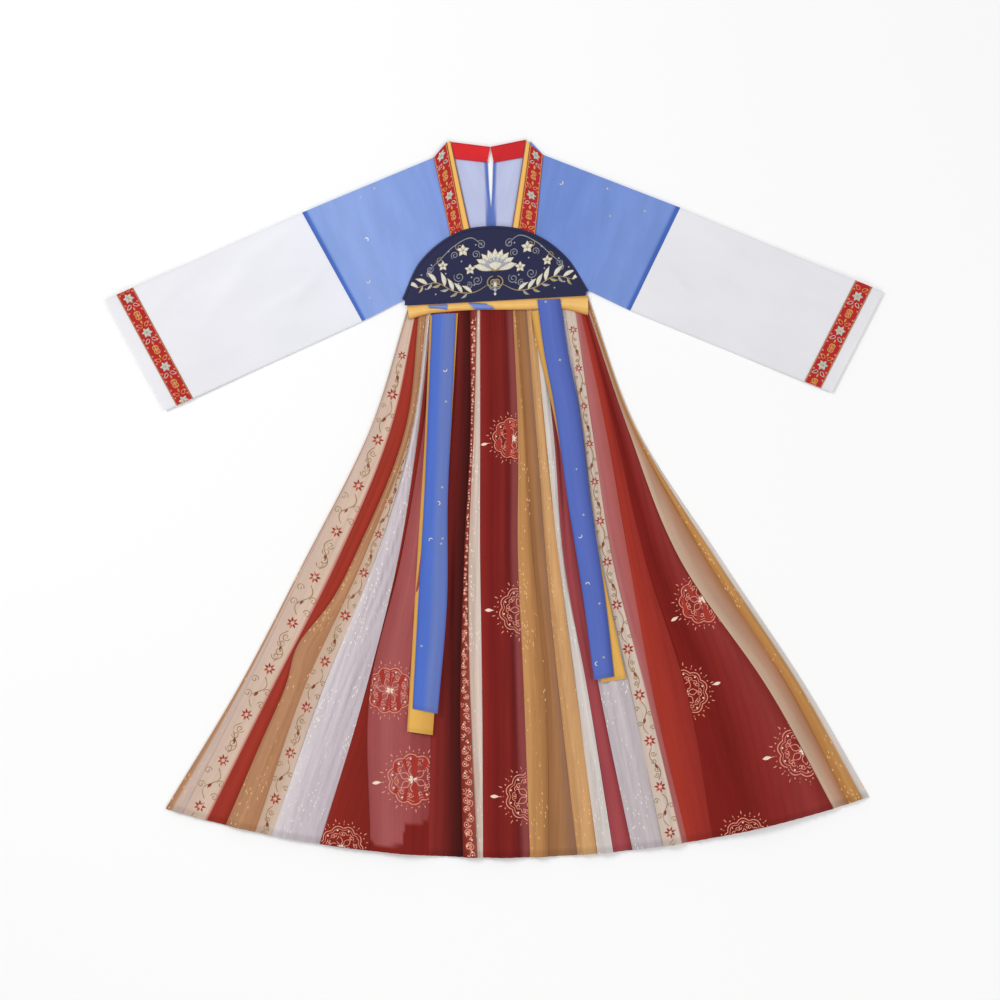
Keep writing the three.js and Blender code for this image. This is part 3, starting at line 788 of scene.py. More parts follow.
def printed_vine(x, y, heading, width, hand):
    """A scroll on each side of a wavy stem, and a bud."""
    figures = []
    t = np.linspace(-1, 1, 22)
    stem = np.column_stack([t * FLOWER_PITCH * 0.36, hand * width * 0.22 * np.sin(t * math.pi)])
    figures.append((turned(stroke(stem, 1.1), heading, x, y), 2))
    for k, side in ((-0.55, 1), (-0.15, -1), (0.3, 1), (0.62, -1)):
        scroll = curl(width * 0.17, 1.25, math.pi / 2 * side, -side * hand)
        place = turned(np.array([[k * FLOWER_PITCH * 0.4, side * hand * width * 0.2]]), heading, x, y)[0]
        figures.append((turned(stroke(scroll, 1.0), heading, *place), 2))
    figures.append((turned(leaf(8.5, 4.0, fullness=0.8), heading + 0.3 * hand, x, y), 3))
    return figures


def floral_prints(owner):
    """Flowers, scrolling vine and buds down the beige strips."""
    for name, first, width_share in FLORAL_STRIPS:
        i = STRIP_NAMES.index(name)
        figures, y, hand = [], first, 1
        while y > hem_y(EDGES[i](y)) - 20:
            x, heading = strip_middle(i, y)
            width = float(EDGES[i + 1](y) - EDGES[i](y)) * width_share
            size = min(FLOWER_SIZE, width * 0.46)
            drop = FLOWER_PITCH * min(1, 0.45 + size / FLOWER_SIZE * 0.55)
            figures += printed_flower(x, y, heading, size)
            mid_x, mid_heading = strip_middle(i, y - drop / 2)
            mid_width = float(EDGES[i + 1](y - drop / 2) - EDGES[i](y - drop / 2)) * width_share
            figures += printed_vine(mid_x, y - drop / 2, mid_heading, min(mid_width, 34), hand)
            hand = -hand
            y -= drop
        prints = lay_figures(f"{name}_print", figures, lambda x, y, i=i: strip_height(i, x, y), 0.12,
                             [INK["flower"], INK["flower_light"], INK["vine"], INK["bud"]],
                             strip_inside(i))
        owner[name].append(prints)


def scroll_print(owner):
    """Rings, dots and scrolls down the narrow red strip."""
    i = STRIP_NAMES.index("floral_3")
    figures, y, hand = [], 250, 1
    random = np.random.RandomState(5)
    while y > hem_y(-40) + 3:
        width = float(EDGES[i + 1](y) - EDGES[i](y))
        x, heading = strip_middle(i, y)
        size = min(width * 0.3, 6.5)
        kind = random.randint(3)
        shift = hand * width * 0.18
        if kind == 0:
            ring = np.array([[math.cos(a), 1.3 * math.sin(a)] for a in np.linspace(0, 2 * math.pi, 17)])
            figures.append((turned(stroke(ring * size * 0.55, 1.3), 0, x + shift, y), 0))
            figures.append((turned(dot(1.1), 0, x + shift, y), 1))
        else:
            scroll = curl(size, 1.3, random.uniform(0, 6), hand)
            figures.append((turned(stroke(scroll, 1.3), heading, x + shift, y), 0))
            figures.append((turned(dot(1.4), 0, x - shift, y - 4), 1))
        figures.append((turned(leaf(size * 1.1, 2.4), heading + hand * 0.8, x - shift, y), 0))
        hand = -hand
        y -= 8.5
    prints = lay_figures("floral_3_print", figures, lambda x, y: strip_height(i, x, y), 0.12,
                         [INK["line"], INK["cream"]], strip_inside(i, 0.8))
    owner["floral_3"].append(prints)


def medallion(x, y, angle, size=1.0, drop_at=None):
    """A round flower medallion in line work, 52 mm in radius, with its drop."""
    figures = []
    lobes = 10
    around = np.linspace(0, 2 * math.pi, 141)
    radius = 34 + 4.5 * np.abs(np.sin(around * lobes / 2))
    lobed = np.column_stack([radius * np.cos(around), radius * np.sin(around)])
    figures.append((filled(lobed[:-1]), 1, -0.04))
    figures.append((stroke(lobed, 1.5), 0, 0))
    figures.append((stroke(lobed * 0.88, 0.9), 0, 0))
    for k in range(6):
        a = k * math.pi / 3
        figures.append((turned(leaf(7.5, 4.4), a), 2, 0))
        loop = leaf_edge(15, 9.5, fullness=0.9)
        figures.append((turned(stroke(loop, 1.3), a + math.pi / 6, 6 * math.cos(a + math.pi / 6),
                               6 * math.sin(a + math.pi / 6)), 0, 0))
    figures.append((dot(2.4), 2, 0))
    for k in range(lobes):
        a = (k + 0.5) * 2 * math.pi / lobes
        for hand in (1, -1):
            scroll = turned(curl(4.3, 1.15, -hand * math.pi / 2, hand), a + hand * 0.13,
                            24 * math.cos(a + hand * 0.04), 24 * math.sin(a + hand * 0.04))
            figures.append((stroke(scroll, 1.2), 0, 0))
        figures.append((turned(dot(1.5), 0, 31.5 * math.cos(a), 31.5 * math.sin(a)), 2, 0))
        for part, reach in ((-0.5, 41.5), (-0.2, 42.8), (0.2, 42.8), (0.5, 41.5)):
            b = a + part * 2 * math.pi / lobes
            figures.append((turned(dot(1.25, sides=8), 0, reach * math.cos(b), reach * math.sin(b)), 0, 0))
        figures.append((turned(leaf(6.5, 1.9), a, 45.5 * math.cos(a), 45.5 * math.sin(a)), 0, 0))
        b = a + math.pi / lobes
        figures.append((turned(leaf(4.5, 1.5), b, 44 * math.cos(b), 44 * math.sin(b)), 0, 0))
    if drop_at is not None:
        figures.append((turned(leaf(15, 5.5, fullness=1.4), drop_at, 47 * math.cos(drop_at),
                               47 * math.sin(drop_at)), 2, 0.03))
    placed = []
    for shape, kind, rise in figures:
        points, faces = turned(shape, angle, x, y, size)
        placed.append(((points + [0, 0, rise], faces), kind))
    return placed


# Middle, turn and drop of each medallion, and the strip that its cloth is.
MEDALLIONS = {
    "dark_3": [(26, 84, 0.2, 0.74, math.pi), (40, -156, 0.5, 0.86, math.pi - 0.5),
               (50, -416, 0.0, 0.9, math.pi)],
    "rose_1": [(-146, -268, 0.3, 0.84, -0.2), (-114, -392, 0.1, 0.92, math.pi)],
    "dark_4": [(290, -142, 0.4, 0.84, math.pi + 0.2), (266, -272, 0.7, 0.84, -0.4),
               (432, -352, 0.2, 0.95, math.pi), (352, -478, 0.2, 0.84, None)],
    "dark_1": [(-214, -488, 0.2, 0.8, None)],
}


def medallion_prints(owner):
    """The medallions of each strip, cut off where its cloth ends."""
    for name, rows in MEDALLIONS.items():
        i = STRIP_NAMES.index(name)
        figures = []
        for x, y, angle, size, drop in rows:
            figures += medallion(x, y, angle, size, drop)
        prints = lay_figures(f"{name}_print", figures, lambda x, y, i=i: strip_height(i, x, y), 0.14,
                             [INK["line"], INK["tint"], INK["cream"]], strip_inside(i, 0.3))
        owner[name].append(prints)


def skirt_back():
    """Nine plain strips of the same cloths, between the same side edges."""
    first, last = SKIRT[0], SKIRT[-1]
    cloths = ["tan", "floral", "rust", "white", "dark", "white", "rust", "floral", "tan"]
    slots = {"tan": "tan_crinkle", "floral": "floral_print", "rust": "rust_chiffon",
             "white": "white_crinkle", "dark": "dark_chiffon"}
    tones = {"tan": "#C08A58", "floral": "#CDB3A0", "rust": "#9C3226", "white": "#C8BEC2",
             "dark": "#7A201A"}
    count = len(cloths)

    def back_edge(k):
        share = k / count
        xs = [mix(first[n], last[n], share) for n in range(2, 7)]
        stations = [waist_y(xs[0]) - BACK_BAND - 2 * GAP, HIP_Y, KNEE_Y, CALF_Y, float(hem_y(xs[4]))]
        return curve_through(stations, xs), xs

    for k, cloth in enumerate(cloths):
        (left, left_x), (right, right_x) = back_edge(k), back_edge(k + 1)
        u, v = np.linspace(0, 1, 17)[None, :], np.linspace(0, 1, 110)[:, None]
        y_top = waist_y(mix(left_x[0], right_x[0], u)) - BACK_BAND - 2 * GAP
        y = mix(y_top, hem_y(mix(left_x[4], right_x[4], u)), v)
        x = mix(left(y), right(y), u)
        z = CLOTH - 0.25 * np.abs(ripples(x, y, 70 + k, 50)) * smooth(np.minimum(u, 1 - u) + x * 0, 0, 0.1)
        top = np.stack([x, y, z], -1)
        colour = shades([(0, tones[cloth]), (1, tones[cloth])], np.broadcast_to(u, x.shape))
        piece = cloth_sheet(f"back_strip_{k + 1}", top, FINISH[slots[cloth]], colour, wall=CLOTH - 0.3)
        declare(piece, [f"skirt_back_{k + 1}_{cloth}"], slots[cloth], grid_size(top))


def skirt():
    """The front strips with their prints, and the back."""
    pieces = skirt_front()
    owner = {name: [] for name in pieces}
    floral_prints(owner)
    scroll_print(owner)
    medallion_prints(owner)
    for row in SKIRT[:-1]:
        piece, size = pieces[row[0]]
        declare(piece, [f"skirt_front_{row[0]}"], row[1], size,
                with_pieces=owner[row[0]])
    skirt_back()


# ---- bodice and sleeves ----
HALVES = {
    "l": {
        "shoulder": [[-66, 499], [-85, 477], [-269, 400]],
        "front_waist": [[-15, 275.8], [-122, 269.8], [-127, 278], [-185, 248]],
        "back_waist": [[-4.6, 276.3], [-122, 269.8], [-127, 278], [-185, 248]],
        "slit": [[-9.6, 472], [-7.5, 432], [-5, 406], [-4.6, 276]],
        "neck_back": [[-9.6, 472], [-56, 477], [-66, 496]],
        "band": [[-5.9, 492], [-60.6, 499], [-10, 470], [-55, 475]],
        "ribbon": ([[-85, 477], [-62, 368], [-47, 280]], [[-67, 498], [-44, 377], [-26, 280]]),
        "piping": ([[-66.7, 498], [-43.7, 377], [-25.7, 280]], [[-61, 500], [-34, 377], [-12, 280]]),
        "cuff": [[-544, 278], [-460, 123]],
        "creases": [((-150, 440), (-200, 300), 14, 1.6), ((-110, 400), (-150, 300), 12, -1.0),
                    ((-240, 392), (-196, 270), 10, 1.1), ((-128, 282), (-100, 360), 9, 1.4),
                    ((-70, 330), (-96, 286), 8, 1.0)],
        # painted light: the left half's blue and its sleeve's white are drawn lighter than the right half's,
        # as if lit from the left
        "tone": [(0, "#7F97DA"), (0.35, "#86A0DE"), (0.8, "#8FA8E2"), (0.965, "#86A0DC"),
                 (0.972, "#4E70C0"), (1, "#4A6ABA")],
        "sleeve_tone": [(0, "#F7F7FF"), (1, "#F4F3F8")],
    },
    "r": {
        "shoulder": [[50, 500], [68, 481], [260, 407]],
        "front_waist": [[11, 277.2], [128, 283.8], [132, 291], [190, 263]],
        "back_waist": [[-4.2, 276.4], [128, 283.8], [132, 291], [190, 263]],
        "slit": [[-1.8, 472], [-3, 432], [-4.6, 406], [-4.2, 276]],
        "neck_back": [[-1.8, 472], [41, 478], [50, 497]],
        "band": [[-5.6, 492], [43.6, 502], [-1, 470], [40, 477]],
        "ribbon": ([[68, 481], [57, 368], [46, 280]], [[50, 495], [34, 377], [21, 280]]),
        "piping": ([[49.7, 495], [33.7, 377], [20.7, 280]], [[44, 502], [24, 377], [8, 280]]),
        "cuff": [[544, 289], [472, 148]],
        "creases": [((130, 445), (186, 312), 14, 1.6), ((96, 420), (140, 320), 12, -1.0),
                    ((232, 398), (196, 290), 10, 1.1), ((132, 296), (104, 372), 9, 1.4),
                    ((74, 340), (98, 296), 8, 1.0)],
        # painted shade: the right half's blue and its sleeve's white are drawn darker than the left half's
        "tone": [(0, "#708ACE"), (0.35, "#728DD0"), (0.8, "#7A94D4"), (0.965, "#748ECE"),
                 (0.972, "#4868B4"), (1, "#4664B0")],
        "sleeve_tone": [(0, "#F2F1F6"), (1, "#EFEEF2")],
    },
}


def between(outer, inner, rows, columns):
    """Points between two edge lines, their places across, and the rows' places."""
    v, u = np.linspace(0, 1, rows), np.linspace(0, 1, columns)
    a, b = outer(v), inner(v)
    plan = a[:, None] + (b - a)[:, None] * u[None, :, None]
    return plan, np.broadcast_to(u[None], plan.shape[:2]), v


def ruled(top, bottom, columns, rows):
    """Points of a panel between two lines, and their places across and down it."""
    u, v = np.linspace(0, 1, columns + 1), np.linspace(0, 1, rows + 1)
    plan = top(u)[None] + (bottom(u) - top(u))[None] * v[:, None, None]
    return plan, np.broadcast_to(u, plan.shape[:2]), np.broadcast_to(v[:, None], plan.shape[:2])


def bodice_face(half, x, y):
    """Height of the front's outer face."""
    soft = 0.8 * ripples(x, y, 11, 150) + creases(x, y, half["creases"])
    return FRONT + CLOTH + np.maximum(soft, -0.2)


def bodice_front(side, half):
    """Half of the front with its short sleeve, hemmed in a darker blue."""
    top, bottom = line_through(half["shoulder"], True), line_through(half["front_waist"], True)
    plan, u, v = ruled(top, bottom, 90, 70)
    x, y = plan[..., 0], plan[..., 1]
    rim = smooth(np.minimum(np.minimum(v, 1 - v) * 170, (1 - u) * 200), 0, 7)
    z = mix(FRONT + CLOTH, bodice_face(half, x, y), rim)
    z = z + 0.5 * smooth(u, 0.968, 0.973)
    colour = shades(half["tone"], u)
    grid = np.stack([x, y, z], -1)
    piece = cloth_sheet(f"bodice_front_{side}_cloth", grid, FINISH["blue_chiffon"], colour)
    foil = foil_scatter(f"bodice_{side}_foil", x, y, rim, lambda a, b: bodice_face(half, a, b),
                        seed=21 if side == "l" else 27, count=8)
    declare(piece, [f"bodice_front_{side}"], "blue_chiffon", grid_size(grid),
            with_pieces=[foil])


def bodice_back(side, half):
    """Half of the back, split from the neck down."""
    top = line_through([*half["neck_back"], *half["shoulder"][1:]], True)
    bottom = line_through(half["back_waist"], True)
    plan, u, v = ruled(top, bottom, 90, 60)
    centre = line_through(half["slit"], True)(v[:, 0])
    drift = (centre - plan[:, 0])[:, None, 0] * (1 - u)
    x, y = plan[..., 0] + drift, plan[..., 1]
    z = CLOTH - 0.15 + 0.12 * ripples(x, y, 31, 60)
    # the back neck is seen from inside, paler, with its slit hemmed in blue
    from_slit = np.abs(x - x[:, :1])
    hem = smooth(-from_slit, -6.2, -5.6)
    inner = shades([(0, "#BCC2E2"), (1, "#B6BCDE")], u)
    colour = mix(inner, np.array(linear("#5E76BE")), hem[..., None])
    colour = mix(colour, np.array(linear("#7E98D8")), smooth(from_slit, 80, 110)[..., None])
    grid = np.stack([x, y, z], -1)
    piece = cloth_sheet(f"bodice_back_{side}_cloth", grid, FINISH["blue_chiffon"], colour)
    declare(piece, [f"bodice_back_{side}"], "blue_chiffon", grid_size(grid))


def foil_scatter(name, x, y, allowed, surface, seed, count):
    """Crescents and stars of silver foil, strewn thinly over a piece."""
    random = np.random.RandomState(seed)
    inner = np.argwhere(allowed > 0.9)
    figures = []
    for k in range(count):
        row, column = inner[random.randint(len(inner))]
        px, py = float(x[row, column]), float(y[row, column])
        angle = random.uniform(0, 2 * math.pi)
        if k % 3 == 0:
            bow = np.linspace(-1.9, 1.9, 15)
            path = 2.6 * np.column_stack([np.cos(bow), np.sin(bow)])
            figures.append((turned(stroke(path, 1.5, taper=0.95), angle, px, py), 0))
        else:
            for n in range(4):
                a = angle + n * math.pi / 2
                figures.append((turned(leaf(2.1, 1.1), a, px, py), 0))
            figures.append((turned(dot(0.7), 0, px, py), 0))
    return lay_figures(name, figures, surface, 0.16, [INK["foil"]])


def sleeve_corners(half):
    """The sleeve's top and under edges from hem to cuff, and its length."""
    shoulder, under = np.array(half["shoulder"][2], float), np.array(half["front_waist"][3], float)
    cuff_top, cuff_low = (np.array(row, float) for row in half["cuff"])
    length = np.hypot(*(cuff_top - shoulder))

    def at(t):
        t = np.asarray(t, float)[..., None]
        return shoulder + (cuff_top - shoulder) * t, under + (cuff_low - under) * t

    return at, length


SLEEVE_LAYERS = 2.5  # height of the two layers of organza with the air between
SLEEVE_PUFF = 2.5  # more of it, halfway along
ORGANZA = 0.35  # wall of the organza


def sleeve_face(side, half, along, across):
    """Outer face of the sleeve's front; along 0 to 1 from hem to cuff, across
    0 to 1 from its top fold to its under fold."""
    at, length = sleeve_corners(half)
    top, low = at(along)
    plan = top + (low - top) * across[..., None]
    ribbon_from = 1 - (CUFF_EDGE + CUFF_RIBBON) / length
    raised = LAYER * smooth(along, 0.5, ribbon_from - 0.02)
    puff = SLEEVE_PUFF * np.sin(math.pi * np.clip(along / ribbon_from, 0, 1)) ** 2 * np.sin(math.pi * across)
    x, y = plan[..., 0], plan[..., 1]
    sag = 1 if side == "r" else -1
    folds = creases(x * sag, y, SLEEVE_CREASES) + 0.5 * ripples(x, y, 17, 120)
    inside = smooth(np.minimum(across, 1 - across), 0, 0.08) * smooth(ribbon_from - along, 0.0, 0.06)
    return plan, raised, SLEEVE_LAYERS + puff + np.maximum(folds * inside, -0.6)


SLEEVE_CREASES = [
    ((270, 380), (380, 300), 10, 1.6),
    ((240, 300), (330, 250), 9, 1.5),
    ((300, 350), (420, 220), 12, 1.2),
    ((340, 330), (470, 270), 11, -1.0),
    ((400, 320), (500, 240), 9, 1.0),
    ((230, 330), (290, 250), 8, 1.2),
]


def sleeve(side, half):
    """A flat tube of organza: a front and a back, closed at both folds."""
    _, length = sleeve_corners(half)
    along = np.linspace(-0.035, 1, 84)
    across = np.linspace(0, 1, 44)
    a, c = np.meshgrid(along, across, indexing="ij")
    plan, raised, height = sleeve_face(side, half, a, c)
    tuck = 0.55 * smooth(-a, -0.004, 0.004)  # the sleeve's end lies inside the blue hem
    front = np.concatenate([plan, (raised + height - tuck)[..., None]], -1)
    back = np.concatenate([plan, (raised + 0.15 + 0 * height)[..., None]], -1)
    ring = np.concatenate([front, back[:, ::-1]], 1)
    inset = (plan[:, -1] - plan[:, 0]) / np.linalg.norm(plan[:, -1] - plan[:, 0], axis=1)[:, None] * 0.5
    inner_front = front - [0, 0, ORGANZA]
    inner_back = back + [0, 0, ORGANZA]
    for layer in (inner_front, inner_back):
        layer[:, 0, :2] += inset
        layer[:, -1, :2] -= inset
    inner = np.concatenate([inner_front, inner_back[:, ::-1]], 1)
    rows, columns = ring.shape[:2]
    count = rows * columns
    faces = []
    for j in range(rows - 1):
        for i in range(columns):
            n = (i + 1) % columns
            p, q = j * columns, (j + 1) * columns
            faces.append([p + i, q + i, q + n, p + n])
            faces.append([count + p + i, count + p + n, count + q + n, count + q + i])
    last = (rows - 1) * columns
    for i in range(columns):
        n = (i + 1) % columns
        faces.append([i, n, count + n, count + i])
        faces.append([last + i, count + last + i, count + last + n, last + n])
    if side == "l":
        faces = [face[::-1] for face in faces]
    points = np.concatenate([ring.reshape(-1, 3), inner.reshape(-1, 3)])
    share = np.broadcast_to(np.concatenate([across, across[::-1]])[None], (rows, columns))
    tone = shades(half["sleeve_tone"], np.broadcast_to(along[:, None], (rows, columns)))
    # painted shade: the sleeve is drawn 5% darker along its two folded edges
    edge = smooth(-np.minimum(share, 1 - share), -0.02, -0.008)
    tone[..., :3] *= (1 - 0.05 * edge)[..., None]
    width = np.linalg.norm(plan[:, -1] - plan[:, 0], axis=1)[:, None]
    thread = np.stack([share * width, np.broadcast_to(along[:, None] * length, share.shape)], -1)
    thread = thread.reshape(-1, 2) * MM
    piece = add_mesh(f"sleeve_{side}_cloth", points, faces, [FINISH["organza"]], None,
                     np.concatenate([tone.reshape(-1, 4)] * 2), np.concatenate([thread] * 2))
    around = 2 * width.mean() * MM
    declare(piece, [f"sleeve_{side}"], "organza", (around, length * MM, around * length * MM))


# ---- woven ribbon ----
RIBBON_REPEAT = 54


def ribbon_figures(length, width, start=0.0):
    """Jacquard figures along +x over a ribbon that is centred on y = 0."""
    figures = []
    scale = width / CUFF_RIBBON
    for edge in (-1, 1):
        line = np.column_stack([np.linspace(0.3, length - 0.3, int(length / 2)),
                                np.full(int(length / 2), edge * (width / 2 - 1.0))])
        figures.append((stroke(line, 0.8, 0.15), 0))
    centre = start
    while centre < length + RIBBON_REPEAT:
        for k in range(6):
            a = k * math.pi / 3 + 0.3
            petal = turned(leaf(6.6 * scale, 4.6 * scale, 0.35, fullness=0.6), a,
                           centre + 1.2 * math.cos(a), 1.2 * math.sin(a))
            figures.append((petal, 1))
        figures.append((turned(dot(1.7 * scale, 0.6), 0, centre, 0), 0))
        middle = centre + RIBBON_REPEAT / 2
        for hand in (1, -1):
            for place, reach in ((-9.5, 4.6), (9.5, 4.6)):
                turn = 0 if place > 0 else math.pi
                scroll = turned(curl(reach * scale, 1.35, math.pi / 2 * hand, hand), turn,
                                middle + place * 0.35, hand * 0.8 * scale, mirror=place < 0)
                figures.append((stroke(scroll + [0, hand * 3.2 * scale], 1.25, 0.25), 0))
            bud = turned(leaf_edge(8.5 * scale, 4.4 * scale), hand * 0.9, centre + 9.5, hand * 2.0 * scale)
            figures.append((stroke(bud, 0.9, 0.2), 1))
            bud = turned(leaf_edge(8.5 * scale, 4.4 * scale), math.pi - hand * 0.9, centre - 9.5,
                         hand * 2.0 * scale)
            figures.append((stroke(bud, 0.9, 0.2), 0))
            for place, across in ((13.5, 8.6), (-13.5, 8.6), (20, 9.4), (-20, 9.4), (8, 9.2), (-8, 9.2)):
                figures.append((turned(dot(1.35 * scale, 0.35), 0, centre + place,
                                       hand * across * scale), 2))
        figures.append((turned(dot(1.5 * scale, 0.35), 0, middle, 0), 2))
        figures.append((turned(leaf(6, 2.6, 0.3), 0, middle + 8, 0), 0))
        figures.append((turned(leaf(6, 2.6, 0.3), math.pi, middle - 8, 0), 0))
        centre += RIBBON_REPEAT
    return figures


RIBBON_THREADS = ["ribbon_gold", "ribbon_silver", "coral"]


def along_ribbon(figures, outer, inner, length, width):
    """Carries ribbon figures from a straight ribbon onto its place: outer and
    inner are its two edges as lines. Faces past its ends or edges are dropped."""
    placed = []
    for (points, faces), kind in figures:
        t, share = points[:, 0] / length, points[:, 1] / width + 0.5
        inside = (t >= 0) & (t <= 1) & (share > 0.01) & (share < 0.99)
        a, b = outer(np.clip(t, 0, 1)), inner(np.clip(t, 0, 1))
        plan = a + (b - a) * share[:, None]
        kept = [face for face in faces if inside[face].all()]
        if kept:
            placed.append(((np.column_stack([plan, points[:, 2]]), kept), kind))
    return placed


def ribbon_on(name, node, outer, inner, length, width, level, start, figured=True):
    """A length of woven ribbon between two edge lines, face up at a level."""
    plan, across, _ = between(outer, inner, int(length / 3) + 2, 13)
    x, y = plan[..., 0], plan[..., 1]
    z = level + 0.12 * ripples(x, y, 51, 30)
    grid = np.stack([x, y, z], -1)
    tone = shades([(0, "#8E1416"), (0.08, "#B01A1E"), (0.92, "#B01A1E"), (1, "#8E1416")],
                  across)
    piece = cloth_sheet(name, grid, FINISH["woven_ribbon"], tone)
    extra = []
    if figured:
        figures = along_ribbon(ribbon_figures(length, width, start), outer, inner, length, width)
        figures = [(used_only(*shape), kind) for shape, kind in figures]
        extra.append(lay_figures(f"{name}_figures", figures,
                                 lambda a, b: level + 0.12 * ripples(a, b, 51, 30), 0.05,
                                 [THREAD[k] for k in RIBBON_THREADS]))
    declare(piece, [node], "woven_ribbon", grid_size(grid), with_pieces=extra)


def cuff_ribbons(side, half):
    """The ribbon on the front and on the back of a cuff."""
    at, length = sleeve_corners(half)
    near, far = at(1 - (CUFF_EDGE + CUFF_RIBBON) / length), at(1 - CUFF_EDGE / length)
    inner = line_through([near[0], near[1]], True)
    outer = line_through([far[0], far[1]], True)
    run = float(np.hypot(*(near[1] - near[0])))
    top = LAYER + SLEEVE_LAYERS + GAP + CLOTH
    ribbon_on(f"cuff_ribbon_front_{side}_cloth", f"cuff_ribbon_front_{side}", outer, inner, run,
              CUFF_RIBBON, top - 0.3, 12 if side == "l" else 20)
    ribbon_on(f"cuff_ribbon_back_{side}_cloth", f"cuff_ribbon_back_{side}", outer, inner, run,
              CUFF_RIBBON, CLOTH - 0.1, 12, figured=False)


# ---- collar ----
PIPING_SUNK, PIPING_ROUND = 0.5, 1.0  # how low its edges lie, and how high it rounds up


def piping_strip(side, half):
    """A folded satin edge, rounded, with the shadow of its fold on the inside."""
    outer, inner = (line_through(rows) for rows in half["piping"])
    plan, across, _ = between(outer, inner, 80, 11)
    dome = 1 - (2 * across - 1) ** 2
    z = ON_FRONT + CLOTH - PIPING_SUNK + PIPING_ROUND * dome ** 0.6
    # painted shade: the satin is drawn darker on both flanks where it rounds away, with the painted shadow
    # of its fold along the inside
    tone = shades([(0, "#C98A3C"), (0.2, "#F0B558"), (0.7, "#F2BC66"), (0.86, "#B8803C"), (0.93, "#4A3A4E"),
                   (1, "#3A3048")], across)
    grid = np.concatenate([plan, z[..., None]], -1)
    piece = cloth_sheet(f"collar_piping_{side}_cloth", grid, FINISH["yellow_satin"], tone)
    declare(piece, [f"collar_piping_{side}"], "yellow_satin", grid_size(grid))


def collar(side, half):
    """The woven ribbon and the satin edge down one side of the neck."""
    outer, inner = (line_through(rows) for rows in half["ribbon"])
    length = float(np.hypot(*np.diff(np.array(half["ribbon"][0], float), axis=0).T).sum())
    ribbon_on(f"collar_ribbon_{side}_cloth", f"collar_ribbon_{side}", outer, inner, length, 19,
              ON_FRONT + CLOTH, 8)
    piping_strip(side, half)


def neck_band(side, half):
    """Half of the red band inside the back of the neck."""
    corners = np.array(half["band"], float)
    u, v = np.linspace(0, 1, 36), np.linspace(0, 1, 16)
    upper = corners[0] + (corners[1] - corners[0]) * u[:, None]
    lower = corners[2] + (corners[3] - corners[2]) * u[:, None]
    plan = upper[None] + (lower - upper)[None] * v[:, None, None]
    share = np.broadcast_to(v[:, None], plan.shape[:2])
    lap = 0.5 if side == "l" else 0.0
    z = FRONT + CLOTH - 0.2 + lap * smooth(-np.broadcast_to(u, share.shape), -0.2, -0.05)
    z = z + 0.35 * smooth(np.abs(share - 0.5), 0.3, 0.45)
    tone = shades([(0, "#C2161A"), (0.12, "#DA2026"), (0.8, "#D81E24"), (0.93, "#D01E34"), (1, "#C21A2E")],
                  share)
    # painted shade: the right half of the band is drawn darker than the left
    if side == "r":
        tone[..., :3] *= 0.86
    grid = np.concatenate([plan, z[..., None]], -1)
    piece = cloth_sheet(f"neck_band_{side}_cloth", grid, FINISH["red_band"], tone)
    declare(piece, [f"neck_band_{side}"], "red_band", grid_size(grid))


# ---- chest panel ----
PANEL_ARC = [[-129, 279], [-104, 331], [-76, 358], [-48, 374], [-6, 381],
             [36, 377], [71, 362], [102, 336], [131, 291]]
BIND_WIDTH = 4


def panel_lines():
    """The panel's arched edge, the line where its binding starts, and its foot."""
    arc = line_through(PANEL_ARC)
    t = np.linspace(0, 1, 90)
    edge = arc(t)
    heading = np.gradient(edge, axis=0)
    heading /= np.hypot(heading[:, 0], heading[:, 1])[:, None]
    inner = edge + BIND_WIDTH * np.column_stack([heading[:, 1], -heading[:, 0]])
    x = mix(inner[0, 0], inner[-1, 0], (1 - np.cos(math.pi * t)) / 2)
    low = np.column_stack([x, waist_y(x) + GAP])
    return edge, inner, low


def panel_face(x, y):
    return ON_TRIM + CLOTH + 0.25 * ripples(x, y, 61, 90) + 0.5 * np.exp(-((x - 2) / 70) ** 2)


def chest_panel():
    """The half-moon panel over the top of the skirt."""
    edge, inner, low = panel_lines()
    v = np.linspace(0, 1, 44)[:, None, None]
    plan = low[None] + (inner - low)[None] * v
    x, y = plan[..., 0], plan[..., 1]
    grid = np.stack([x, y, panel_face(x, y)], -1)
    share = np.broadcast_to(np.linspace(0, 1, x.shape[1])[None], x.shape)
    tone = shades([(0, "#1E1F48"), (0.5, "#191B42"), (1, "#1B1C40")], share)
    piece = cloth_sheet("chest_panel_cloth", grid, FINISH["navy_satin"], tone)
    trims = [embroidery(), panel_binding(edge, inner)]
    declare(piece, ["chest_panel"], "navy_satin", grid_size(grid),
            with_pieces=trims)


def panel_binding(edge, inner):
    """The satin binding, folded over the panel's arched edge."""
    w = np.linspace(-0.02, 1, 9)[:, None]
    plan = inner[None] + (edge - inner)[None] * w[..., None]
    dome = 0.9 * (1 - (2 * np.clip(w, 0, 1) - 1) ** 2) ** 0.5 + 0 * plan[..., 0]
    z = ON_TRIM + CLOTH - 0.3 + dome
    grid = np.concatenate([plan, z[..., None]], -1)
    # painted shade: the binding is drawn lighter on its rounded middle and darker at both edges
    tone = shades([(0, "#161738"), (0.5, "#20224C"), (1, "#141530")], w + 0 * plan[..., 0])
    binding = cloth_sheet("chest_panel_binding_cloth", grid, FINISH["navy_satin"], tone)
    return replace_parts(binding, "chest_panel_binding")


def mirrored(figures, axis):
    copies = []
    for (points, faces), kind in figures:
        copies.append(((points * [-1, 1, 1] + [2 * axis, 0, 0], [f[::-1] for f in faces]), kind))
    return copies


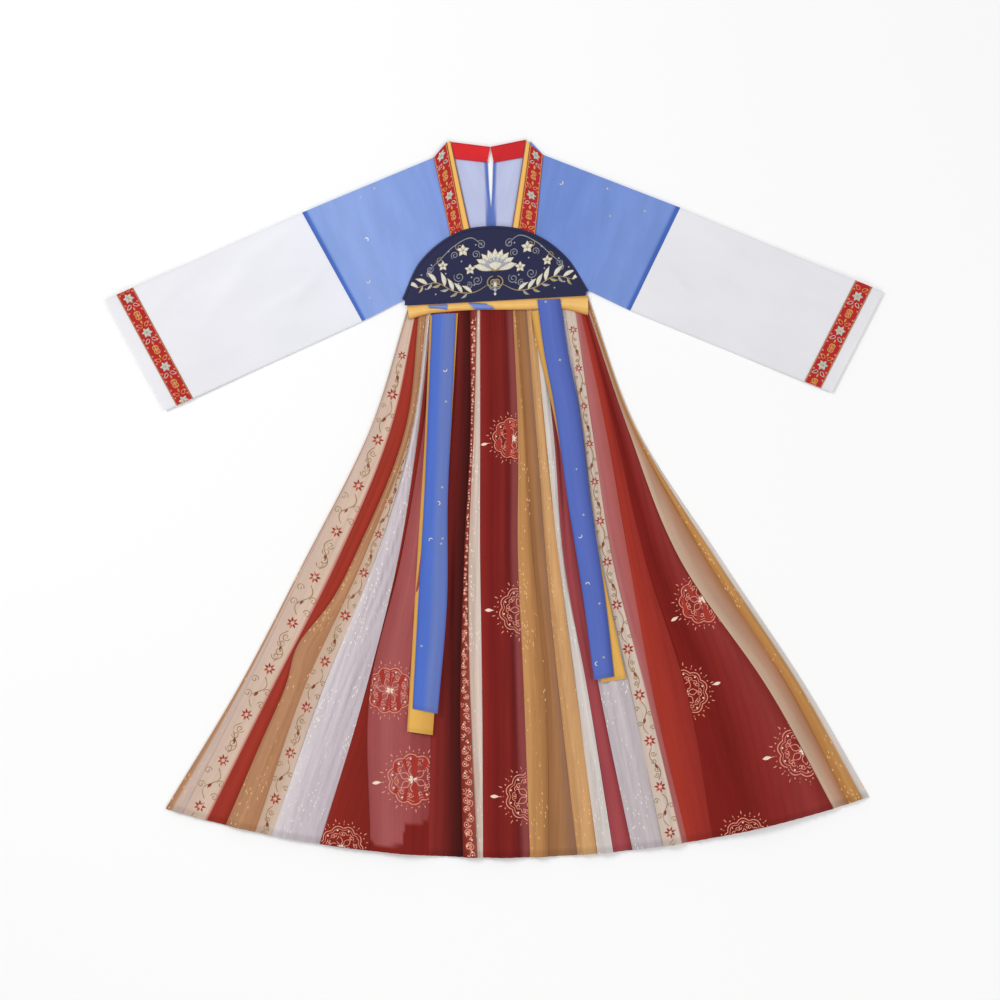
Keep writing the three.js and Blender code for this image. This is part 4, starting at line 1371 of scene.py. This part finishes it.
def lotus(x, y):
    """A lotus in satin stitch: three rows of petals, each outlined in gold."""
    figures = []
    rows = [(9, 31, 10.5, 1.30, 0.0, 0), (7, 23, 9.5, 1.05, 0.3, 1), (5, 15, 7.5, 0.72, 0.6, 0)]
    for count, length, width, spread, rise, kind in rows:
        for k in range(count):
            a = math.pi / 2 + spread * (2 * k / (count - 1) - 1)
            bend = -1.6 * (2 * k / (count - 1) - 1)
            petal, faces = turned(leaf(length, width, 0.9, bend, 9, 1.25), a, x, y)
            figures.append(((petal + [0, 0, rise], faces), kind))
            edge, faces = turned(stroke(leaf_edge(length, width, bend, 15, 1.25), 0.7, 0.45), a, x, y)
            figures.append(((edge + [0, 0, rise + 0.15], faces), 2))
    return figures


def side_spray():
    """The right-hand spray: a leafy branch, scrolls and small blossoms."""
    figures = []
    branch = line_through([[10, 300], [30, 290], [56, 292], [84, 306], [112, 300]])
    path = branch(np.linspace(0, 1, 60))
    figures.append((stroke(path, 1.5, 0.7, 0.6), 2))
    for k, t in enumerate(np.linspace(0.24, 0.97, 13)):
        here, ahead = branch(np.array(t)), branch(np.array(min(t + 0.01, 1)))
        heading = math.atan2(*(ahead - here)[::-1])
        side = 1 if k % 2 == 0 else -1
        size = 21 - 9 * abs(t - 0.62)
        if side < 0:
            size *= 0.62
        a = heading + side * 0.72
        thread = (0, 1, 0, 2)[k % 4]
        figures.append((turned(leaf(size, size * 0.30, 1.1, side * 1.4, 9, 0.85), a, *here), thread))
        figures.append((turned(stroke(leaf_edge(size, size * 0.30, side * 1.4, 15, 0.85), 0.55, 0.5), a,
                               *here), 1 if k % 4 == 3 else 2))
    upper = line_through([[16, 352], [34, 366], [58, 356], [80, 336], [96, 322]])
    figures.append((stroke(upper(np.linspace(0, 1, 50)), 1.3, 0.6, 0.6), 1))
    for t, radius, hand in ((0.12, 6.5, 1), (0.42, 6.0, -1), (0.72, 5.5, -1), (0.9, 5, 1)):
        place = upper(np.array(t))
        figures.append((turned(stroke(curl(radius, 1.4, 0.6 + 3 * t, hand), 1.2, 0.6, 0.4), -t, *place),
                        1 if hand > 0 else 2))
    for bx, by, size in ((46, 349, 1.0), (74, 329, 0.8), (36, 322, 0.85)):
        for k in range(5):
            a = k * 2 * math.pi / 5 + 0.3
            figures.append((turned(leaf(7.5 * size, 5.6 * size, 0.8, 0, 7, 0.6), a,
                                   bx + 1.4 * math.cos(a), by + 1.4 * math.sin(a)), 0))
            figures.append((turned(stroke(leaf_edge(7.5 * size, 5.6 * size, 0, 11, 0.6), 0.5, 0.5), a,
                                   bx + 1.4 * math.cos(a), by + 1.4 * math.sin(a)), 2))
        figures.append((turned(dot(1.9 * size, 1.2), 0, bx, by), 2))
    for cx, cy, radius, start, hand in ((22, 312, 7, 2.2, 1), (58, 316, 7.5, 0.5, -1), (24, 338, 6, 4.0, -1),
                                        (60, 338, 5.5, 5.2, 1), (88, 318, 5, 3.4, 1), (40, 304, 5, 1.0, 1)):
        figures.append((turned(stroke(curl(radius, 1.5, start, hand), 1.3, 0.7, 0.4), 0, cx, cy), 1))
    for cx, cy in ((30, 300), (52, 303), (66, 349), (28, 356), (90, 331), (104, 318), (48, 334), (70, 318),
                   (18, 326), (34, 311), (98, 298), (84, 290), (62, 286), (44, 284)):
        figures.append((turned(dot(1.3, 0.9), 0, cx, cy), 1))
    return figures


def embroidery():
    """Lotus, leafy sprays, cloud scrolls and beads, the same on both sides."""
    axis = 1.0
    figures = lotus(axis, 318)
    side = side_spray()
    cloud = stroke(curl(9, 1.5, math.pi / 2, -1), 1.9, 0.9, 0.3)
    side.append((turned(cloud, 0, axis + 3, 311), 2))
    side.append((turned(stroke(curl(6, 1.4, math.pi / 2, 1), 1.6, 0.8, 0.3), 0, axis + 4, 303), 1))
    figures += side + mirrored(side, axis)
    for k, (y, size) in enumerate(((304, 6.5), (296, 5.0), (289, 3.6))):
        drop = turned(leaf(size * 1.5, size, 1.0, 0, 9, 1.3), -math.pi / 2, axis, y)
        figures.append((drop, (0, 1, 0)[k]))
    for k in range(7):
        a = math.pi * (k + 0.5) / 7
        figures.append((turned(dot(1.5, 1.6), 0, axis + 5 * math.cos(a), 319 + 5 * math.sin(a)), 2))
    figures = [((leaned(shape[0]), shape[1]), kind) for shape, kind in figures]
    return lay_figures("chest_panel_embroidery", figures, panel_face, 0.02,
                       [THREAD["cream"], THREAD["silver"], THREAD["gold"]], panel_inside)


def leaned(points):
    """The panel leans with the waist, so its stitching leans with it."""
    still = np.zeros(len(points))
    return points + np.column_stack([still, points[:, 0] * WAIST_SLOPE, still])


def panel_inside(x, y):
    arc = line_through(PANEL_ARC)(np.linspace(0, 1, 200))
    roof = np.interp(x, arc[:, 0], arc[:, 1])
    return (y < roof - BIND_WIDTH - 0.5) & (y > waist_y(x) + 2) & (np.abs(x) < 120)


# ---- waist band, twists and ties ----
BAND_LOW = [[-119, 250], [-97, 257], [-60, 261.5], [54, 264], [95, 265], [131, 256]]


def waist_band():
    """The yellow band, folded lengthwise in front and flat behind."""
    low = line_through(BAND_LOW)(np.linspace(0, 1, 130))
    top_x = mix(-122, 131, (low[:, 0] + 119) / 250)
    top = np.column_stack([top_x, waist_y(low[:, 0]) - GAP])
    v = np.linspace(0, 1, 15)
    plan = top[None] + (low - top)[None] * v[:, None, None]
    x = plan[..., 0]
    share = np.broadcast_to(v[:, None], x.shape)
    # two long folds and four fine ones, which wander as they run across
    folds = 0.8 * np.sin(share * 7 + x / 31) + 0.4 * np.sin(share * 15 - x / 17)
    z = ON_TRIM + CLOTH - 0.2 + folds * np.sin(math.pi * np.clip(share, 0.02, 0.98)) ** 0.5
    # painted shade: the band is drawn darker along both long edges, where its folds turn away
    tone = shades([(0, "#B07E3C"), (0.2, "#E8B664"), (0.55, "#EFC274"), (0.85, "#DDA552"), (1, "#A8752F")],
                  share)
    grid = np.concatenate([plan, z[..., None]], -1)
    piece = cloth_sheet("waist_band_front_cloth", grid, FINISH["yellow_satin"], tone)
    declare(piece, ["waist_band_front"], "yellow_satin", grid_size(grid),
            with_pieces=waist_twists())
    x = np.linspace(-121, 130, 60)[None] + 0 * v[:, None]
    y = waist_y(x) - GAP - BACK_BAND * v[:, None]
    grid = np.stack([x, y, CLOTH - 0.2 + 0.15 * np.sin(y * 1.1 + x / 20)], -1)
    tone = shades([(0, "#DDA552"), (1, "#D8A050")], np.broadcast_to(v[:, None], x.shape))
    piece = cloth_sheet("waist_band_back_cloth", grid, FINISH["yellow_satin"], tone)
    declare(piece, ["waist_band_back"], "yellow_satin", grid_size(grid))


TWISTS = {
    "waist_twist_1": [[-93, 270], [-66, 271.5], [-92, 267], [-66, 264]],
    "waist_twist_2": [[-37, 274], [-12, 272.5], [-27, 264], [1, 265]],
}


def waist_twists():
    """Where the blue tie winds over the yellow one: a lens with folded edges."""
    twists = []
    for name, corners in TWISTS.items():
        a, b, c, d = (np.array(row, float) for row in corners)
        u, v = np.linspace(0, 1, 24), np.linspace(0, 1, 9)
        upper, lower = a + (b - a) * u[:, None], c + (d - c) * u[:, None]
        plan = upper[None] + (lower - upper)[None] * v[:, None, None]
        share = np.broadcast_to(v[:, None], plan.shape[:2])
        dome = np.sin(math.pi * np.clip(share, 0.02, 0.98)) ** 0.6
        z = ON_BAND + CLOTH - 0.2 + 0.7 * dome + 0.2 * np.sin(share * 14)
        # painted shade: each twist is drawn darker at its folded edges and lighter along its raised middle
        tone = shades([(0, "#3C549E"), (0.3, "#6E86C8"), (0.6, "#7C92CE"), (1, "#4860A8")], share)
        grid = np.concatenate([plan, z[..., None]], -1)
        twist = cloth_sheet(f"{name}_cloth", grid, FINISH["blue_satin"], tone)
        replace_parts(twist, name)
        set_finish(twist, "blue_satin")
        twists.append(twist)
    return twists


TIES = {
    "tie_left_yellow": {
        "under": 0, "crest": 9, "foil": 0,
        "left": [[-90, 256], [-98, 68], [-107, -72], [-115, -212], [-122, -325]],
        "right": [[-51, 259], [-62, 68], [-70, -72], [-78, -212], [-86, -330]],
        "tone": [(0, "#C48E3E"), (0.1, "#E4B052"), (0.5, "#DDA94E"), (1, "#C8943F")],
    },
    "tie_left_blue": {
        "under": 1, "crest": 9, "foil": 41,
        "left": [[-87, 257], [-92, 138], [-98, -2], [-106, -142], [-114, -293]],
        "right": [[-54, 259], [-59, 138], [-65, -2], [-66, -142], [-79, -300]],
        "tone": [(0, "#3A58AE"), (0.08, "#4668C2"), (0.42, "#4C6EC6"), (0.56, "#6478BA"),
                 (0.9, "#5C70B4"), (1, "#465CA4")],
    },
    "tie_right_yellow": {
        "under": 0, "crest": 8, "foil": 0,
        "left": [[51, 262], [61, 208], [78, 138], [115, -72], [132, -180], [148, -257]],
        "right": [[90, 263], [99, 208], [113, 138], [145, -72], [168, -180], [184, -251]],
        "tone": [(0, "#B8843C"), (0.1, "#D8A44C"), (0.9, "#DDAA50"), (1, "#C8943F")],
    },
    "tie_right_blue": {
        "under": 1, "crest": 8, "foil": 43,
        "left": [[60, 278], [69, 208], [82, 138], [102, -2], [124, -142], [139, -253]],
        "right": [[92, 279], [102, 208], [116, 138], [134, -2], [155, -142], [167, -248]],
        "tone": [(0, "#3E52A0"), (0.08, "#4E66B8"), (0.5, "#5468B8"), (0.75, "#4C60AE"), (1, "#38488E")],
    },
}


TIE_WIDTH, TIE_LENGTH = 34, 560
TIE_FOLD, TIE_FOLD_WIDTH = 0.9, 0.05  # the pressed fold down its middle
TIE_EDGE = 0.3  # step of its turned edge


def tie_level(tie, y):
    """Height of a tie over the fold crests, the blue one over the yellow one."""
    opened = mix(WAIST_FOLD, 1, smooth(WAIST_Y - y, 0, FOLDS_OPEN))
    clear = 2 * GAP
    return FRONT + tie["crest"] * opened + 2 * CLOTH + clear + tie["under"] * (CLOTH + clear)


def tie_face(tie, x, y):
    return tie_level(tie, y) + 0.35 * ripples(x, y, 81 + tie["under"], 90)


def tie_ends():
    """The hanging ends of both ties, with turned edges."""
    for name, tie in TIES.items():
        slot = "yellow_satin" if "yellow" in name else "blue_satin"
        left, right = line_through(tie["left"]), line_through(tie["right"])
        plan, across, v = between(left, right, 150, 21)
        x, y = plan[..., 0], plan[..., 1]
        rim = np.minimum(across, 1 - across) * TIE_WIDTH
        hem = np.broadcast_to((1 - v)[:, None], x.shape) * TIE_LENGTH
        fold = TIE_FOLD * np.exp(-((across - 0.5) / TIE_FOLD_WIDTH) ** 2) * tie["under"]
        z = tie_face(tie, x, y) + fold
        z = z + TIE_EDGE * smooth(-np.minimum(rim, hem), -2.6, -2.0)
        # painted shade: each tie's colours are drawn darker at its two long turned edges
        tone = shades(tie["tone"], across)
        stitched = smooth(-hem, -7.5, -6.8) * 0.12
        tone[..., :3] *= (1 - stitched)[..., None]
        grid = np.stack([x, y, z], -1)
        piece = cloth_sheet(f"{name}_cloth", grid, FINISH[slot], tone)
        extra = []
        if tie["foil"]:
            allowed = smooth(np.minimum(rim, hem), 5, 6)
            extra.append(foil_scatter(f"{name}_foil", x, y, allowed,
                                      lambda p, q, t=tie: tie_face(t, p, q) + TIE_EDGE, tie["foil"], 9))
        declare(piece, [name], slot, grid_size(grid),
                with_pieces=extra)


# ---- surface, light and camera ----
def studio():
    """White paper, soft light with a brighter left, and an overhead lens."""
    floor_mesh = bpy.data.meshes.new("paper_floor")
    reach = 4.0
    floor_mesh.from_pydata([(-reach, -reach, 0), (reach, -reach, 0), (reach, reach, 0), (-reach, reach, 0)],
                           [], [(0, 1, 2, 3)])
    floor = bpy.data.objects.new("paper_floor", floor_mesh)
    floor.location.z = -FLOOR_DROP * MM
    bpy.context.scene.collection.objects.link(floor)
    paper = bpy.data.materials.new("white_paper")
    paper.use_nodes = True
    shader = paper.node_tree.nodes["Principled BSDF"]
    shader.inputs["Base Color"].default_value = (0.96, 0.96, 0.96, 1)
    shader.inputs["Roughness"].default_value = 0.95
    shader.inputs["Specular IOR Level"].default_value = 0.0
    floor_mesh.materials.append(paper)

    world = bpy.data.worlds.new("studio")
    bpy.context.scene.world = world
    world.use_nodes = True
    background = world.node_tree.nodes["Background"]
    background.inputs["Color"].default_value = (1, 1, 1, 1)
    background.inputs["Strength"].default_value = 0.52

    for name, place, size, watts in (
            ("key", (-2.2, 1.6, 3.0), 1.6, 62), ("fill", (2.6, 0.4, 2.8), 2.4, 26),
            ("low", (0.2, -2.6, 2.2), 1.6, 20)):
        light = bpy.data.lights.new(name, "AREA")
        light.shape, light.size, light.energy = "DISK", size, watts
        lamp = bpy.data.objects.new(name, light)
        lamp.location = place
        aim = -lamp.location
        lamp.rotation_euler = aim.to_track_quat("-Z", "Y").to_euler()
        bpy.context.scene.collection.objects.link(lamp)

    lens = bpy.data.cameras.new("overhead")
    lens.lens, lens.sensor_width = 85, 36
    view_width = 1.4  # metres of surface across the picture
    camera = bpy.data.objects.new("overhead", lens)
    camera.location = (0.0078, -0.0021, view_width * lens.lens / lens.sensor_width)
    bpy.context.scene.collection.objects.link(camera)
    bpy.context.scene.camera = camera
    bpy.context.scene.view_settings.view_transform = "Standard"


studio()
skirt()
for side, half in HALVES.items():
    bodice_back(side, half)
    bodice_front(side, half)
    sleeve(side, half)
    cuff_ribbons(side, half)
    neck_band(side, half)
    collar(side, half)
chest_panel()
waist_band()
tie_ends()
